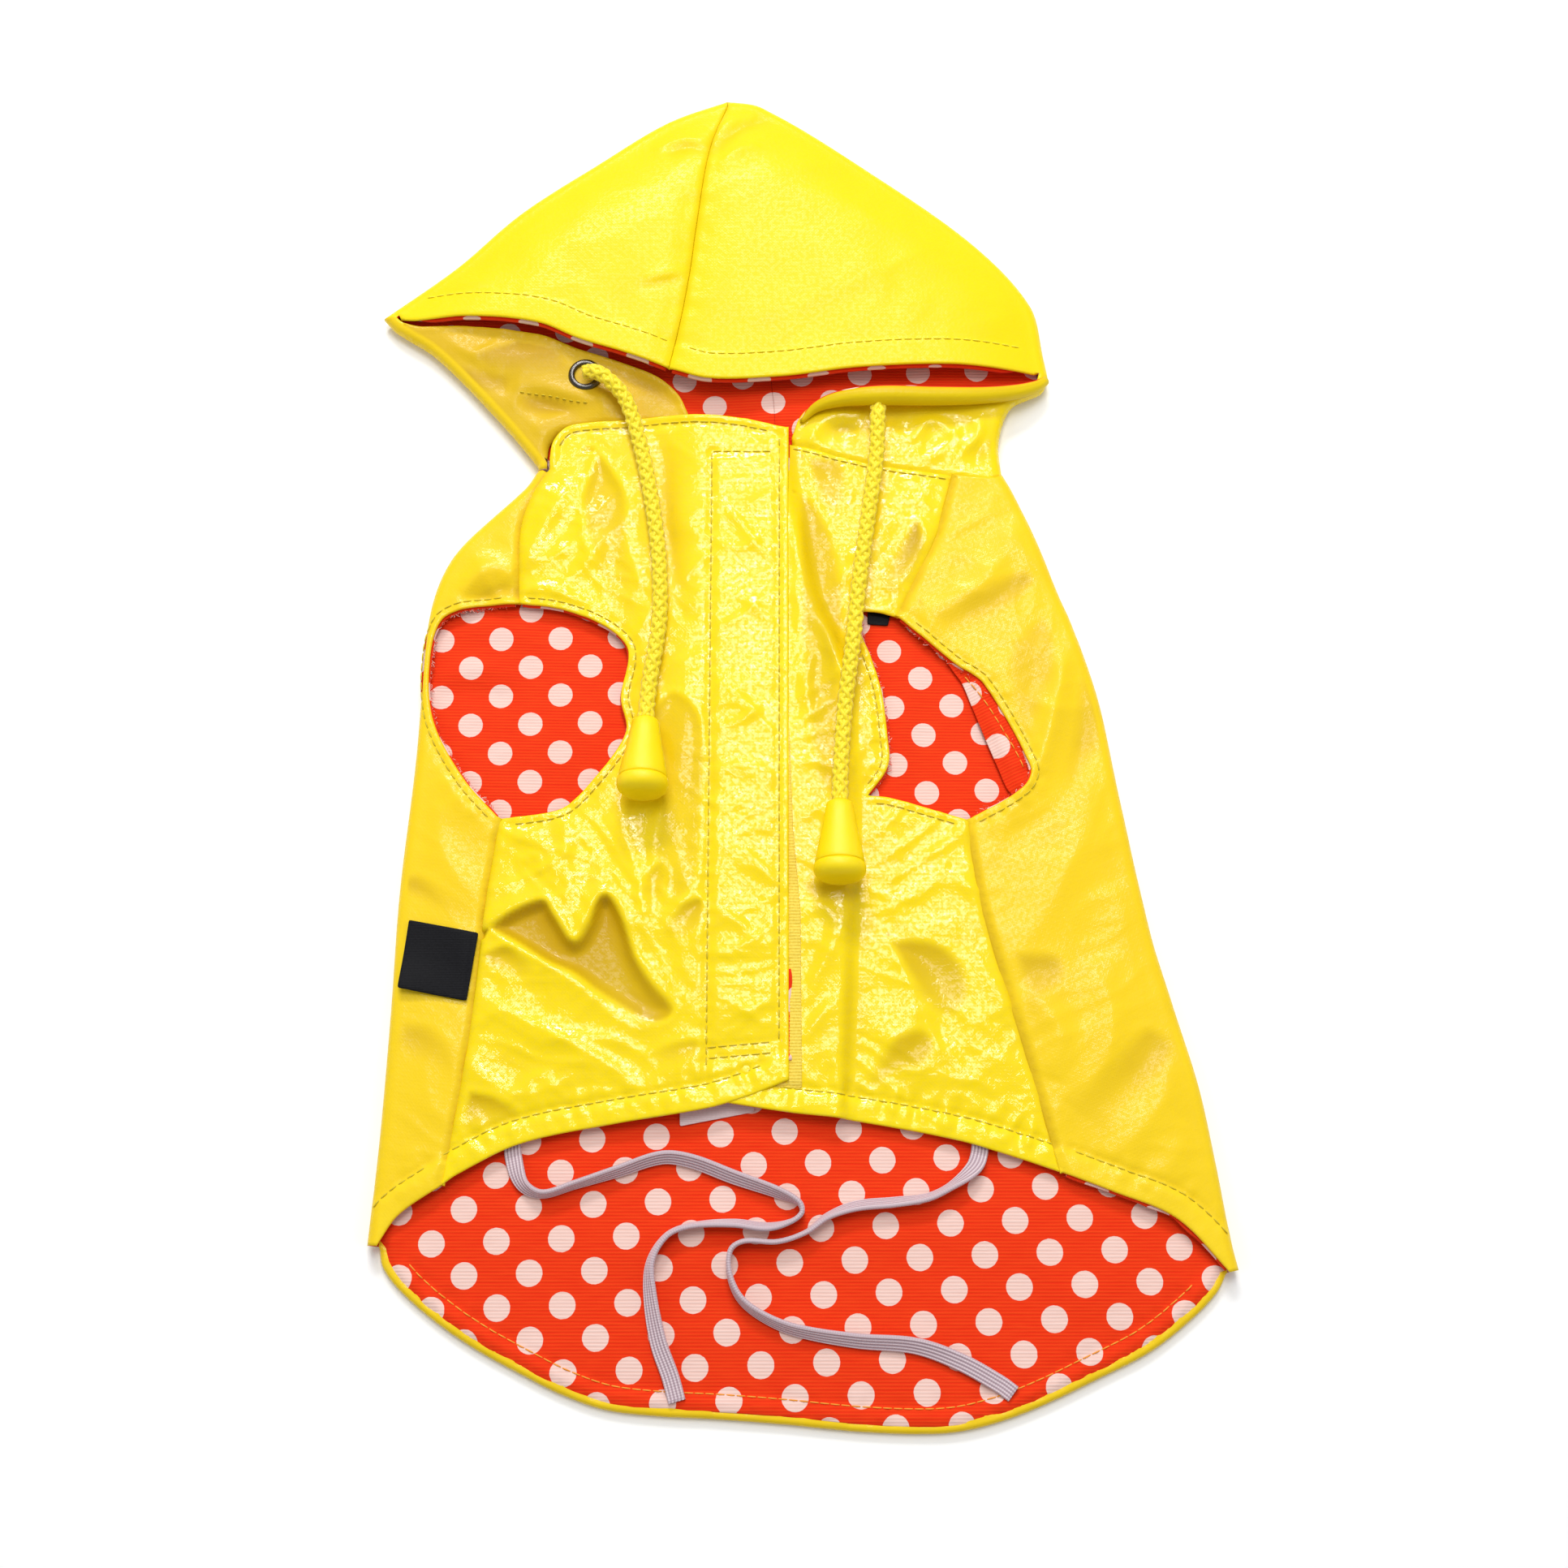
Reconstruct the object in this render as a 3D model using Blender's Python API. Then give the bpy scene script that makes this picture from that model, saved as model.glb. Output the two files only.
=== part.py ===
"""A small dog's raincoat, lying flat on a surface with its belly side up and its hood towards +Y.

One back panel wraps up over both side edges. Two fronts overlap at a hook-tape placket. A two-panel
hood is folded shut. Drawstring ends with stoppers, two elastic leg loops, a side tab and labels are
sewn on. Tables are in millimetres: X across the coat, Y from tail to hood, Z up from the surface.
"""
import math

import bmesh
import bpy
from mathutils import Vector

MM = 0.001

# Cloth and its layers, from the surface up
WALL = 1.2                # coated cloth
LINING_WALL = 1.0
GAP = 0.3                 # between pieces that touch
FOLD_RADIUS = 3.0         # roll of the cloth over a side edge
WRAP_EASE = 12.0          # how far from the roll the folds of a wrap fade in
TAPE_WALL = 0.8
LABEL_WALL = 0.8
LINING_BASE = WALL + GAP
LINING_TOP = LINING_BASE + LINING_WALL
TOP_LAYER = 2 * FOLD_RADIUS
UNDERLAP = 5.2
OVERLAP = UNDERLAP + TAPE_WALL + 2 * GAP + WALL
CHEEK = 5.5               # hood below its mouth
CUT_FLOOR = LINING_TOP + 0.6
CUT_CEILING = 24.0

# Turned hem of the tail
HEM_RIM = 2.9             # width of the doubled edge
HEM_RIM_TOP = 3.2
HEM_STEP = 0.15
HEM_SHARE = 0.9           # the rim takes at most this share of the last row

# Rows and columns of the cloth grids
BODY_ROWS = 20
CROWN_ROWS = 11
CHEEK_ROWS = 4
HOOD_COLUMNS = 9
ARC_STEPS = 4
TAIL_COLUMNS = 20
FLAP_COLUMNS = 3
SIDE_COLUMNS = 8
PLACKET_COLUMNS = 2
UNDERLAP_COLUMNS = 3
MAIN_COLUMNS = 7
ARMHOLE_POINTS = 28

# Side edges of the body, where the back panel rolls over: x, y from neck to tail
FOLD_LEFT = ((-75.0, 77.0), (-79.2, 70.6), (-99.2, 49.5), (-105.7, 32.8), (-107.4, 6.2),
             (-108.5, -17.3), (-111.3, -54.7), (-112.2, -89.8), (-113.6, -123.9), (-115.6, -153.6))
FOLD_RIGHT = ((65.8, 74.9), (68.6, 69.5), (75.0, 54.5), (81.8, 35.6), (84.9, 27.7), (92.1, 3.8),
              (96.9, -24.6), (104.5, -66.5), (109.4, -85.2), (116.1, -110.3), (119.6, -130.6),
              (122.9, -152.6), (124.5, -160.2))

# Shoulder and side seams between the back's wraps and the fronts: x, y from neck to hem
SEAM_LEFT = ((-71.6, 76.4), (-76.4, 68.4), (-79.6, 58.0), (-79.9, 45.0), (-79.5, 33.1),
             (-81.0, 0.0), (-83.4, -33.6), (-85.9, -55.1), (-89.6, -97.0), (-95.4, -137.5))
SEAM_RIGHT = ((51.0, 74.4), (45.2, 54.9), (33.2, 29.0), (41.5, -2.0), (53.4, -33.8),
              (57.0, -59.8), (69.5, -106.1), (76.8, -134.0))

# Cross edges: x, y from left to right
NECK = ((-40.0, 77.2), (-3.0, 77.5), (35.0, 76.4))
TAIL_HEM = ((-111.4, -159.4), (-106.0, -166.0), (-96.0, -174.2), (-85.0, -181.3), (-71.4, -188.4),
            (-61.0, -193.3), (-48.7, -197.3), (-33.2, -199.0), (-20.0, -199.6), (-1.9, -200.9),
            (20.0, -202.9), (38.0, -203.5), (48.0, -202.7), (58.7, -200.1), (70.1, -195.9),
            (84.2, -189.5), (99.5, -182.0), (111.2, -173.4), (118.6, -166.2))
FLAP_HEM_LEFT = ((-107.0, -145.6),)
FLAP_HEM_RIGHT = ((90.0, -139.0), (107.6, -146.4))

# Fronts
PLACKET_EDGE = 0.8
PLACKET_SEAM = -22.4      # the line where the placket's tape is stitched down
COLLAR_LEFT = ((-71.6, 79.8), (-70.6, 85.5), (-66.0, 90.4), (-50.0, 92.2), (-35.0, 93.3),
               (PLACKET_SEAM, 93.2))
COLLAR_PLACKET = ((PLACKET_SEAM, 93.2), (-11.0, 91.8), (PLACKET_EDGE, 88.9))
HEM_LEFT = ((-95.4, -137.5), (-91.0, -134.4), (-74.1, -126.1), (-47.2, -120.5), (PLACKET_SEAM, -116.5))
HEM_PLACKET = ((PLACKET_SEAM, -116.5), (-11.0, -113.2), (PLACKET_EDGE, -108.5))
UNDERLAP_EDGE = -17.0
CREASE = ((2.0, 84.6), (5.2, 64.3), (11.4, 33.8), (19.5, 18.1), (21.0, 0.0), (21.9, -26.3),
          (20.5, -70.0), (18.4, -119.6))
CREASE_WIDTH = 3.2
CREASE_RISE = 1.6
CREASE_REACH = (20.0, 40.0)       # x over which the raised pleat settles to the top layer
PLACKET_REACH = (-46.4, -24.4)    # x over which the left front climbs to the placket
COLLAR_UNDERLAP = ((UNDERLAP_EDGE, 84.0), (-8.0, 84.8), (2.0, 84.6))
COLLAR_RIGHT = ((5.2, 84.0), (22.2, 79.3), (33.9, 77.0), (51.0, 74.4))
HEM_UNDERLAP = ((UNDERLAP_EDGE, -114.8), (0.0, -117.4), (18.4, -119.6))
HEM_RIGHT = ((21.6, -120.0), (47.7, -125.0), (63.4, -129.6), (76.8, -134.0))

# Armholes: x, y round the opening
ARMHOLE_LEFT = ((-79.5, 33.1), (-65.7, 31.0), (-52.9, 25.5), (-46.7, 18.4), (-48.6, 4.1), (-47.0, -6.8),
                (-58.4, -23.6), (-66.0, -30.0), (-83.0, -32.8), (-94.0, -19.8), (-103.9, -2.8),
                (-106.1, 14.4), (-102.6, 28.2), (-93.3, 32.0))
ARMHOLE_RIGHT = ((22.9, 31.0), (33.2, 29.0), (50.0, 14.4), (58.2, 8.1), (71.0, -17.3), (68.7, -23.6),
                 (52.7, -32.9), (30.4, -26.3), (23.8, -25.7), (29.8, -16.6), (28.2, 5.9), (22.2, 24.9))

# Hood, from the crown's apex to the neck: x, y
CROWN_FOLD_LEFT = ((-18.95, 203.4), (-38.2, 195.3), (-60.0, 180.4), (-83.5, 163.2), (-103.1, 144.1),
                   (-124.5, 127.1))
CROWN_FOLD_RIGHT = ((-18.25, 203.4), (-7.3, 201.1), (28.5, 176.6), (58.7, 152.5), (75.8, 131.5),
                    (79.4, 113.7), (80.5, 107.4))
CHEEK_FOLD_LEFT = ((-120.6, 123.0), (-108.2, 114.6), (-89.2, 94.8), (-75.4, 78.0))
CHEEK_FOLD_RIGHT = ((78.6, 102.6), (69.0, 97.4), (64.9, 86.0), (65.2, 75.6))
CENTRE_SEAM = ((-18.6, 200.0), (-23.8, 183.7), (-27.9, 155.0), (-29.7, 139.3), (-32.5, 122.3),
               (-35.7, 107.4))
UNDER_SEAM = ((-18.6, 200.0), (-11.0, 150.0), (-4.0, 101.0), (-3.0, 77.9))
CROWN_PUFF = 6.0
CROWN_PUFF_REACH = 36.0
SEAM_GROOVE = 1.2
SEAM_GROOVE_WIDTH = 6.0
UPPER_LIP_LEFT = ((-50.5, 112.6), (-62.9, 116.6), (-75.9, 122.3), (-98.1, 125.3), (-113.6, 124.4))
UPPER_LIP_RIGHT = ((-23.8, 103.6), (-1.6, 104.1), (21.9, 107.2), (49.6, 108.4), (70.0, 107.2))
LOWER_LIP_LEFT = ((-29.9, 94.9), (-33.5, 100.6), (-39.9, 105.4), (-50.0, 109.6), (-64.0, 114.2),
                  (-88.0, 120.4), (-108.0, 120.6))
LOWER_LIP_RIGHT = ((1.7, 86.9), (4.1, 93.4), (8.0, 97.9), (15.2, 101.6), (28.0, 103.8), (49.5, 101.4),
                   (70.0, 101.4))
CHEEK_COLLAR_LEFT = ((-29.3, 94.0), (-50.0, 93.0), (-67.4, 91.5), (-73.2, 86.2))
CHEEK_COLLAR_RIGHT = ((1.9, 85.8), (22.2, 80.1), (33.9, 77.8), (51.0, 75.3))

# The largest folds of the top layer: from x, y, to x, y, half-width, height
FOLDS = ((-69.9, -57.0, -61.0, -68.3, 7.0, 2.0),
         (-61.0, -68.3, -53.4, -56.0, 7.0, 2.0),
         (-76.0, -71.5, -38.9, -92.6, 7.0, 1.8),
         (-81.0, -90.0, -39.1, -109.0, 8.0, 1.4),
         (-76.0, 50.5, -62.0, 72.0, 8.0, 1.6),
         (31.0, 55.4, 38.0, 60.5, 5.5, 1.8),
         (84.0, 19.6, 74.4, -14.2, 6.0, 1.6),
         (27.7, -90.0, 36.0, -62.0, 9.0, 1.4),
         (82.5, -92.0, 98.0, -85.5, 8.0, 1.2),
         (-99.4, -22.0, -90.0, -45.0, 6.0, 1.0))

# Drawstring ends: x, y, z along each cord, out of its eyelet
CORD_RADIUS = 2.35
CORD_SIDES = 2
CORD_STEP = 9.0
EYELET_LEFT = (-61.5, 107.3)
EYELET_RIGHT = (28.0, 98.4)
EYELET_RIM = 5.2
EYELET_HOLE = 3.2
EYELET_HEIGHT = 1.3
EYELET_SHOULDER = 0.9
EYELET_ROUNDING = 0.3
EYELET_SIDES = 20
CORD_LEFT = ((-61.0, 107.1, 8.9), (-58.0, 106.0, 10.9), (-54.5, 103.9, 11.4), (-48.7, 97.3, 10.3),
             (-44.3, 84.0, 9.3), (-40.9, 68.2, 9.3), (-37.9, 47.5, 9.5), (-37.4, 27.2, 9.6),
             (-39.9, 7.1, 10.4), (-40.7, -4.4, 12.2))
CORD_RIGHT = ((28.0, 98.0, 9.0), (27.9, 94.8, 10.9), (27.7, 90.5, 11.0), (27.2, 78.8, 10.2),
              (24.6, 60.0, 10.6), (21.4, 36.0, 10.4), (19.4, 17.1, 10.4), (17.2, 0.0, 9.9),
              (15.9, -17.0, 11.0), (15.4, -29.2, 12.6))

# Stoppers on the cord ends: bell and cap, turned about the cord's own line
BELL_PROFILE = ((0.0, 3.6), (0.9, 4.2), (8.0, 5.1), (14.0, 6.3), (18.6, 7.1))
CAP_PROFILE = ((18.9, 7.3), (20.0, 7.5), (22.2, 7.2), (23.6, 5.6), (24.1, 3.0))
STOPPER_SIDES = 24
STOPPER_LEFT = ((-40.7, -4.7, 12.2), (-41.2, -28.8, 15.9))
STOPPER_RIGHT = ((15.4, -29.5, 12.6), (15.2, -53.6, 15.5))

# Leg loops: x, y, turn about the band's own line (0 lies flat, 90 stands on edge)
BAND_WIDTH = 4.8
BAND_WALL = 1.1
BAND_STEP = 5.0
ELASTIC_LEFT = ((-77.0, -121.0, 0), (-75.9, -130.1, 5), (-73.0, -137.2, 45), (-67.5, -139.7, 75),
                (-58.8, -137.2, 75), (-46.9, -133.5, 60), (-34.7, -129.7, 50), (-26.6, -130.6, 45),
                (-14.6, -135.0, 45), (-2.4, -139.2, 60), (3.6, -142.0, 85), (4.4, -144.6, 90),
                (1.6, -147.0, 85), (-5.0, -148.6, 70), (-14.5, -147.6, 70), (-26.4, -148.3, 80),
                (-32.9, -150.9, 80), (-37.2, -157.7, 70), (-37.3, -166.5, 45), (-34.9, -179.3, 20),
                (-31.5, -188.5, 5), (-29.6, -195.0, 0))
ELASTIC_RIGHT = ((54.6, -119.0, 0), (53.9, -128.4, 0), (52.0, -132.6, 30), (45.8, -137.5, 70),
                 (39.2, -140.6, 70), (30.0, -141.9, 60), (19.2, -143.0, 60), (11.4, -145.8, 75),
                 (5.6, -150.0, 85), (-2.4, -152.6, 85), (-11.4, -152.4, 85), (-15.2, -154.7, 90),
                 (-15.6, -161.0, 85), (-12.6, -167.8, 75), (-6.0, -172.8, 65), (3.0, -176.3, 55),
                 (18.9, -179.0, 40), (35.3, -180.4, 30), (47.4, -184.6, 15), (58.0, -190.4, 5),
                 (61.6, -193.0, 0))

# Small sewn pieces: x, y of their corners
SIDE_TAB = ((-87.6, -66.6), (-107.6, -62.8), (-109.7, -82.6), (-90.3, -86.1))
TAB_WALL = 1.2
TAB_BASE = TOP_LAYER + 2 * GAP
CARE_LABEL = ((-9.0, -108.0), (-30.0, -106.5), (-29.8, -120.9), (-9.0, -116.9))
INNER_LABEL = ((32.0, 35.0), (24.6, 36.0), (24.2, 27.6), (30.4, 27.2))
HOOK_TAPE = ((3.0, 10.0), (-13.5, 10.0), (-13.5, -110.0), (5.2, -110.8), (5.0, -41.0))
ARMHOLE_FACING = ((44.9, 19.6), (60.4, 7.6), (67.2, -3.0), (73.4, -14.0), (74.4, -19.6), (66.4, -25.4),
                  (63.6, -22.6), (60.6, -15.0), (57.0, -5.4), (53.6, 3.0), (49.6, 12.4))
FACING_WALL = 1.0


def clear_scene():
    for thing in list(bpy.data.objects):
        bpy.data.objects.remove(thing, do_unlink=True)


def material(name, colour, roughness, metallic=0.0):
    """A Principled material with one colour."""
    made = bpy.data.materials.new(name)
    made.use_nodes = True
    shader = made.node_tree.nodes["Principled BSDF"]
    shader.inputs["Base Color"].default_value = (*colour, 1.0)
    shader.inputs["Roughness"].default_value = roughness
    shader.inputs["Metallic"].default_value = metallic
    made.diffuse_color = (*colour, 1.0)
    return made


def smooth_step(value):
    """Ease a value from 0 to 1."""
    clamped = min(1.0, max(0.0, value))
    return clamped * clamped * (3.0 - 2.0 * clamped)


def progress(value, reach):
    """Eased progress of a value from the near end of a reach to its far end."""
    near, far = reach
    return smooth_step((value - near) / (far - near))


def evenly(points, count):
    """Count spans, of equal length, along a smooth curve through the points (any dimension)."""
    knots = [Vector(point) for point in points]
    runs = [0.0]
    for near, far in zip(knots, knots[1:]):
        runs.append(runs[-1] + (far - near).length)
    slopes = []
    for i in range(len(knots)):
        low, high = max(0, i - 1), min(len(knots) - 1, i + 1)
        slopes.append((knots[high] - knots[low]) / (runs[high] - runs[low]))
    line = []
    span = 0
    for step in range(count + 1):
        run = runs[-1] * step / count
        while span < len(knots) - 2 and run > runs[span + 1]:
            span += 1
        length = runs[span + 1] - runs[span]
        t = (run - runs[span]) / length
        line.append(knots[span] * (2 * t**3 - 3 * t**2 + 1)
                    + slopes[span] * length * (t**3 - 2 * t**2 + t)
                    + knots[span + 1] * (3 * t**2 - 2 * t**3)
                    + slopes[span + 1] * length * (t**3 - t**2))
    return line


def fill_between(top, bottom, left, right):
    """A grid of plan points between four edge lines: top and bottom run from left to right."""
    rows, columns = len(left) - 1, len(top) - 1
    grid = []
    for j in range(rows + 1):
        v = j / rows
        row = []
        for i in range(columns + 1):
            u = i / columns
            across = left[j].lerp(right[j], u)
            down = top[i].lerp(bottom[i], v)
            corners = left[0].lerp(right[0], u).lerp(left[-1].lerp(right[-1], u), v)
            row.append(across + down - corners)
        grid.append(row)
    return grid


def outward(line, side):
    """Plan directions square to a line that runs down the coat; side is -1 for left, 1 for right."""
    ways = []
    for i in range(len(line)):
        run = line[min(i + 1, len(line) - 1)] - line[max(i - 1, 0)]
        ways.append(Vector((-run.y, run.x)).normalized() * side)
    return ways


def moved(line, ways, distance):
    """A line moved square to itself."""
    return [point + way * distance for point, way in zip(line, ways)]


def shifted(line, dx):
    """A line moved across the coat."""
    return [point + Vector((dx, 0.0)) for point in line]


def fold_rise(point):
    """Height that the large folds add to the top layer at a plan point."""
    rise = 0.0
    for from_x, from_y, to_x, to_y, half_width, height in FOLDS:
        start, run = Vector((from_x, from_y)), Vector((to_x - from_x, to_y - from_y))
        along = min(1.0, max(0.0, (point - start).dot(run) / run.length_squared))
        away = (point - start - run * along).length / half_width
        rise = max(rise, height * math.exp(-away * away))
    return rise


def lift(grid, outer_height, wall):
    """Outer and inner points of a layer whose outer face is up."""
    outer = [[point.to_3d() + Vector((0, 0, outer_height(point))) for point in row] for row in grid]
    inner = [[point - Vector((0, 0, wall)) for point in row] for row in outer]
    return outer, inner


def roll(line, ways, radius, wall):
    """Outer and inner points of cloth rolled over a side edge, from the top layer to the surface."""
    outer, inner = [], []
    for point, way in zip(line, ways):
        axis = (point - way * radius).to_3d() + Vector((0, 0, radius))
        outer_row, inner_row = [], []
        for step in range(ARC_STEPS + 1):
            turn = math.pi / 2 - math.pi * step / ARC_STEPS
            spoke = way.to_3d() * math.cos(turn) + Vector((0, 0, math.sin(turn)))
            outer_row.append(axis + spoke * radius)
            inner_row.append(axis + spoke * (radius - wall))
        outer.append(outer_row)
        inner.append(inner_row)
    return outer, inner


def ground(grid, wall):
    """Outer and inner points of the layer that lies on the surface."""
    outer = [[point.to_3d() for point in row] for row in grid]
    inner = [[point + Vector((0, 0, wall)) for point in row] for row in outer]
    return outer, inner


def backwards(layer):
    """A layer with its columns in the opposite order."""
    return tuple([list(reversed(row)) for row in face] for face in layer)


def joined(layers):
    """One layer from layers side by side, whose edge columns are shared."""
    faces = []
    for side in range(2):
        rows = []
        for j in range(len(layers[0][0])):
            row = list(layers[0][side][j])
            for layer in layers[1:]:
                row += layer[side][j][1:]
            rows.append(row)
        faces.append(rows)
    return tuple(faces)


def add_object(name, bm, finish):
    """Put a finished mesh, in millimetres, into the scene at its real size."""
    bmesh.ops.recalc_face_normals(bm, faces=bm.faces)
    bmesh.ops.scale(bm, vec=(MM, MM, MM), verts=bm.verts)
    mesh = bpy.data.meshes.new(name)
    bm.to_mesh(mesh)
    bm.free()
    mesh.materials.append(finish)
    made = bpy.data.objects.new(name, mesh)
    bpy.context.collection.objects.link(made)
    return made


def cloth(name, layer, finish, open_cells=()):
    """A closed wall of cloth between its outer and inner points, open at the cells left out."""
    outer, inner = layer
    rows, columns = len(outer), len(outer[0])
    cells = [(j, i) for j in range(rows - 1) for i in range(columns - 1) if (j, i) not in open_cells]
    rim = set()
    for j, i in cells:
        loop = ((j, i), (j, i + 1), (j + 1, i + 1), (j + 1, i))
        for near, far in zip(loop, loop[1:] + loop[:1]):
            if (far, near) in rim:
                rim.remove((far, near))
            else:
                rim.add((near, far))
    bm = bmesh.new()
    grids = [[[bm.verts.new(point) for point in row] for row in face] for face in (outer, inner)]
    for grid in grids:
        for j, i in cells:
            bm.faces.new((grid[j][i], grid[j][i + 1], grid[j + 1][i + 1], grid[j + 1][i]))
    for (j, i), (l, k) in sorted(rim):
        bm.faces.new((grids[0][j][i], grids[1][j][i], grids[1][l][k], grids[0][l][k]))
    return add_object(name, bm, finish)


def flat_piece(name, outline, low, high, finish):
    """A flat piece of even thickness with a given outline."""
    bm = bmesh.new()
    base = [bm.verts.new((x, y, low)) for x, y in outline]
    face = bm.faces.new(base)
    lifted = bmesh.ops.extrude_face_region(bm, geom=[face])
    verts = [item for item in lifted["geom"] if isinstance(item, bmesh.types.BMVert)]
    bmesh.ops.translate(bm, vec=(0, 0, high - low), verts=verts)
    return add_object(name, bm, finish)


def cut(target, cutter):
    """Cut an opening through a piece of cloth."""
    change = target.modifiers.new("opening", "BOOLEAN")
    change.operation = "DIFFERENCE"
    change.solver = "EXACT"
    change.object = cutter


def cutter(name, outline, finish):
    made = flat_piece(name, outline, CUT_FLOOR, CUT_CEILING, finish)
    made.hide_render = True
    made.display_type = "WIRE"
    return made


def round_outline(points, count):
    """A closed smooth outline through the points."""
    return evenly(tuple(points) + (points[0],), count)[:-1]


def flap(seam, fold_line, hem):
    """A back-panel wrap from its seam out to the rolled edge."""
    grid = fill_between(evenly((seam[0], fold_line[0]), FLAP_COLUMNS), hem, seam, fold_line)
    outer = []
    for row in grid:
        line = []
        for point in row:
            ease = smooth_step((point - row[-1]).length / WRAP_EASE)
            line.append(point.to_3d() + Vector((0, 0, TOP_LAYER + fold_rise(point) * ease)))
        outer.append(line)
    inner = [[point - Vector((0, 0, WALL)) for point in row] for row in outer]
    return outer, inner


def with_hem_rows(layer):
    """Add the rows of the doubled edge just inside the last row."""
    faces = []
    for face in layer:
        rows = list(face)
        last, previous = rows[-1], rows[-2]
        inside = []
        for width in (HEM_RIM + HEM_STEP, HEM_RIM):
            inside.append([end.lerp(start, min(HEM_SHARE, width / (end - start).length))
                           for end, start in zip(last, previous)])
        faces.append(rows[:-1] + inside + [last])
    return tuple(faces)


def thicken_rim(layer, first_column, last_column):
    """Raise the inner face of the doubled edge along the tail."""
    outer, inner = layer
    for row in inner[-2:]:
        for i in range(first_column, last_column + 1):
            row[i].z = HEM_RIM_TOP
    return outer, inner


def body_edges():
    """Both rolled side edges with the lines where their rolls meet the flat cloth."""
    edges = []
    for points, side in ((FOLD_LEFT, -1), (FOLD_RIGHT, 1)):
        edge = evenly(points, BODY_ROWS)
        ways = outward(edge, side)
        ways[0] = Vector((side, 0.0))
        edges.append((edge, ways, moved(edge, ways, -FOLD_RADIUS)))
    return edges


def body_ground():
    """Plan points of the back panel where it lies on the surface."""
    left, right = [edge[2] for edge in body_edges()]
    neck = evenly((left[0],) + NECK + (right[0],), TAIL_COLUMNS)
    hem = evenly((left[-1],) + TAIL_HEM + (right[-1],), TAIL_COLUMNS)
    return fill_between(neck, hem, left, right)


def build_back(finish):
    """The back panel: flat under everything, rolled up over both sides as far as the seams."""
    layers = [ground(body_ground(), WALL)]
    sides = zip(body_edges(), (SEAM_LEFT, SEAM_RIGHT), (FLAP_HEM_LEFT, FLAP_HEM_RIGHT), (-1, 1))
    for (edge, ways, line), seam_points, hem_points, side in sides:
        seam = shifted(evenly(seam_points, BODY_ROWS), side * GAP / 2)
        hem = evenly((seam[-1],) + hem_points + (line[-1],), FLAP_COLUMNS)
        wrap = joined([flap(seam, line, hem), roll(edge, ways, FOLD_RADIUS, WALL)])
        layers = [wrap] + layers if side < 0 else layers + [backwards(wrap)]
    layer = with_hem_rows(joined(layers))
    first = FLAP_COLUMNS + ARC_STEPS
    return cloth("back", thicken_rim(layer, first, first + TAIL_COLUMNS), finish)


def build_back_lining(finish):
    """The dotted lining, on the back panel's own points as far as the doubled edge."""
    grid = body_ground()
    reach = HEM_RIM + 2 * HEM_STEP + GAP
    grid[-1] = [end.lerp(start, reach / (end - start).length) for end, start in zip(grid[-1], grid[-2])]
    return cloth("back_lining", lift(grid, lambda point: LINING_TOP, LINING_WALL), finish)


def left_front_height(point):
    """The left front climbs from the top layer to the placket, which lies on the underlap."""
    climb = progress(point.x, PLACKET_REACH)
    return TOP_LAYER + (OVERLAP - TOP_LAYER) * climb + fold_rise(point) * (1.0 - climb)


def build_front_left(finish):
    """The overlapping front: a side part and, past the stitch line, the placket."""
    seam = shifted(evenly(SEAM_LEFT, BODY_ROWS), GAP / 2)
    side = [Vector(COLLAR_LEFT[0]) + Vector((GAP, 0.0))] + seam
    rows = len(side) - 1
    stitch = evenly((COLLAR_LEFT[-1], HEM_LEFT[-1]), rows)
    edge = evenly((COLLAR_PLACKET[-1], HEM_PLACKET[-1]), rows)
    side_part = fill_between(evenly((side[0],) + COLLAR_LEFT[1:], SIDE_COLUMNS),
                             evenly((side[-1],) + HEM_LEFT[1:], SIDE_COLUMNS), side, stitch)
    placket = fill_between(evenly(COLLAR_PLACKET, PLACKET_COLUMNS), evenly(HEM_PLACKET, PLACKET_COLUMNS),
                           stitch, edge)
    layer = joined([lift(side_part, left_front_height, WALL), lift(placket, left_front_height, WALL)])
    return cloth("front_left", layer, finish)


def right_front_height(point):
    """The right front stands highest at its pleat and settles towards the side seam."""
    return TOP_LAYER + CREASE_RISE * (1.0 - progress(point.x, CREASE_REACH)) + fold_rise(point)


def build_front_right(finish):
    """The underlapping front: a low underlap strip and, past a pleat, the raised main part."""
    seam = shifted(evenly(SEAM_RIGHT, BODY_ROWS), -GAP / 2)
    foot = evenly(CREASE, BODY_ROWS)
    crest = shifted(foot, CREASE_WIDTH)
    edge = evenly((COLLAR_UNDERLAP[0], HEM_UNDERLAP[0]), BODY_ROWS)
    underlap = fill_between(evenly(COLLAR_UNDERLAP, UNDERLAP_COLUMNS),
                            evenly(HEM_UNDERLAP, UNDERLAP_COLUMNS), edge, foot)
    main = fill_between(evenly((crest[0],) + COLLAR_RIGHT[1:-1] + (seam[0],), MAIN_COLUMNS),
                        evenly((crest[-1],) + HEM_RIGHT[1:-1] + (seam[-1],), MAIN_COLUMNS), crest, seam)
    low = lift(underlap, lambda point: UNDERLAP, WALL)
    high = lift(main, right_front_height, WALL)
    pleat = tuple([[low_row[-1], high_row[0]] for low_row, high_row in zip(low[face], high[face])]
                  for face in range(2))
    return cloth("front_right", joined([low, pleat, high]), finish)


def hood_edge(crown_fold, cheek_fold, side):
    """The rolled edge of a hood half: its outline, directions and the line where the roll ends."""
    edge = evenly(crown_fold, CROWN_ROWS) + evenly(cheek_fold, CHEEK_ROWS)
    ways = outward(edge, side)
    ways[0] = Vector((0.0, 1.0))
    ways[-1] = Vector((side, 0.0))
    return edge, ways, moved(edge, ways, -FOLD_RADIUS)


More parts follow.
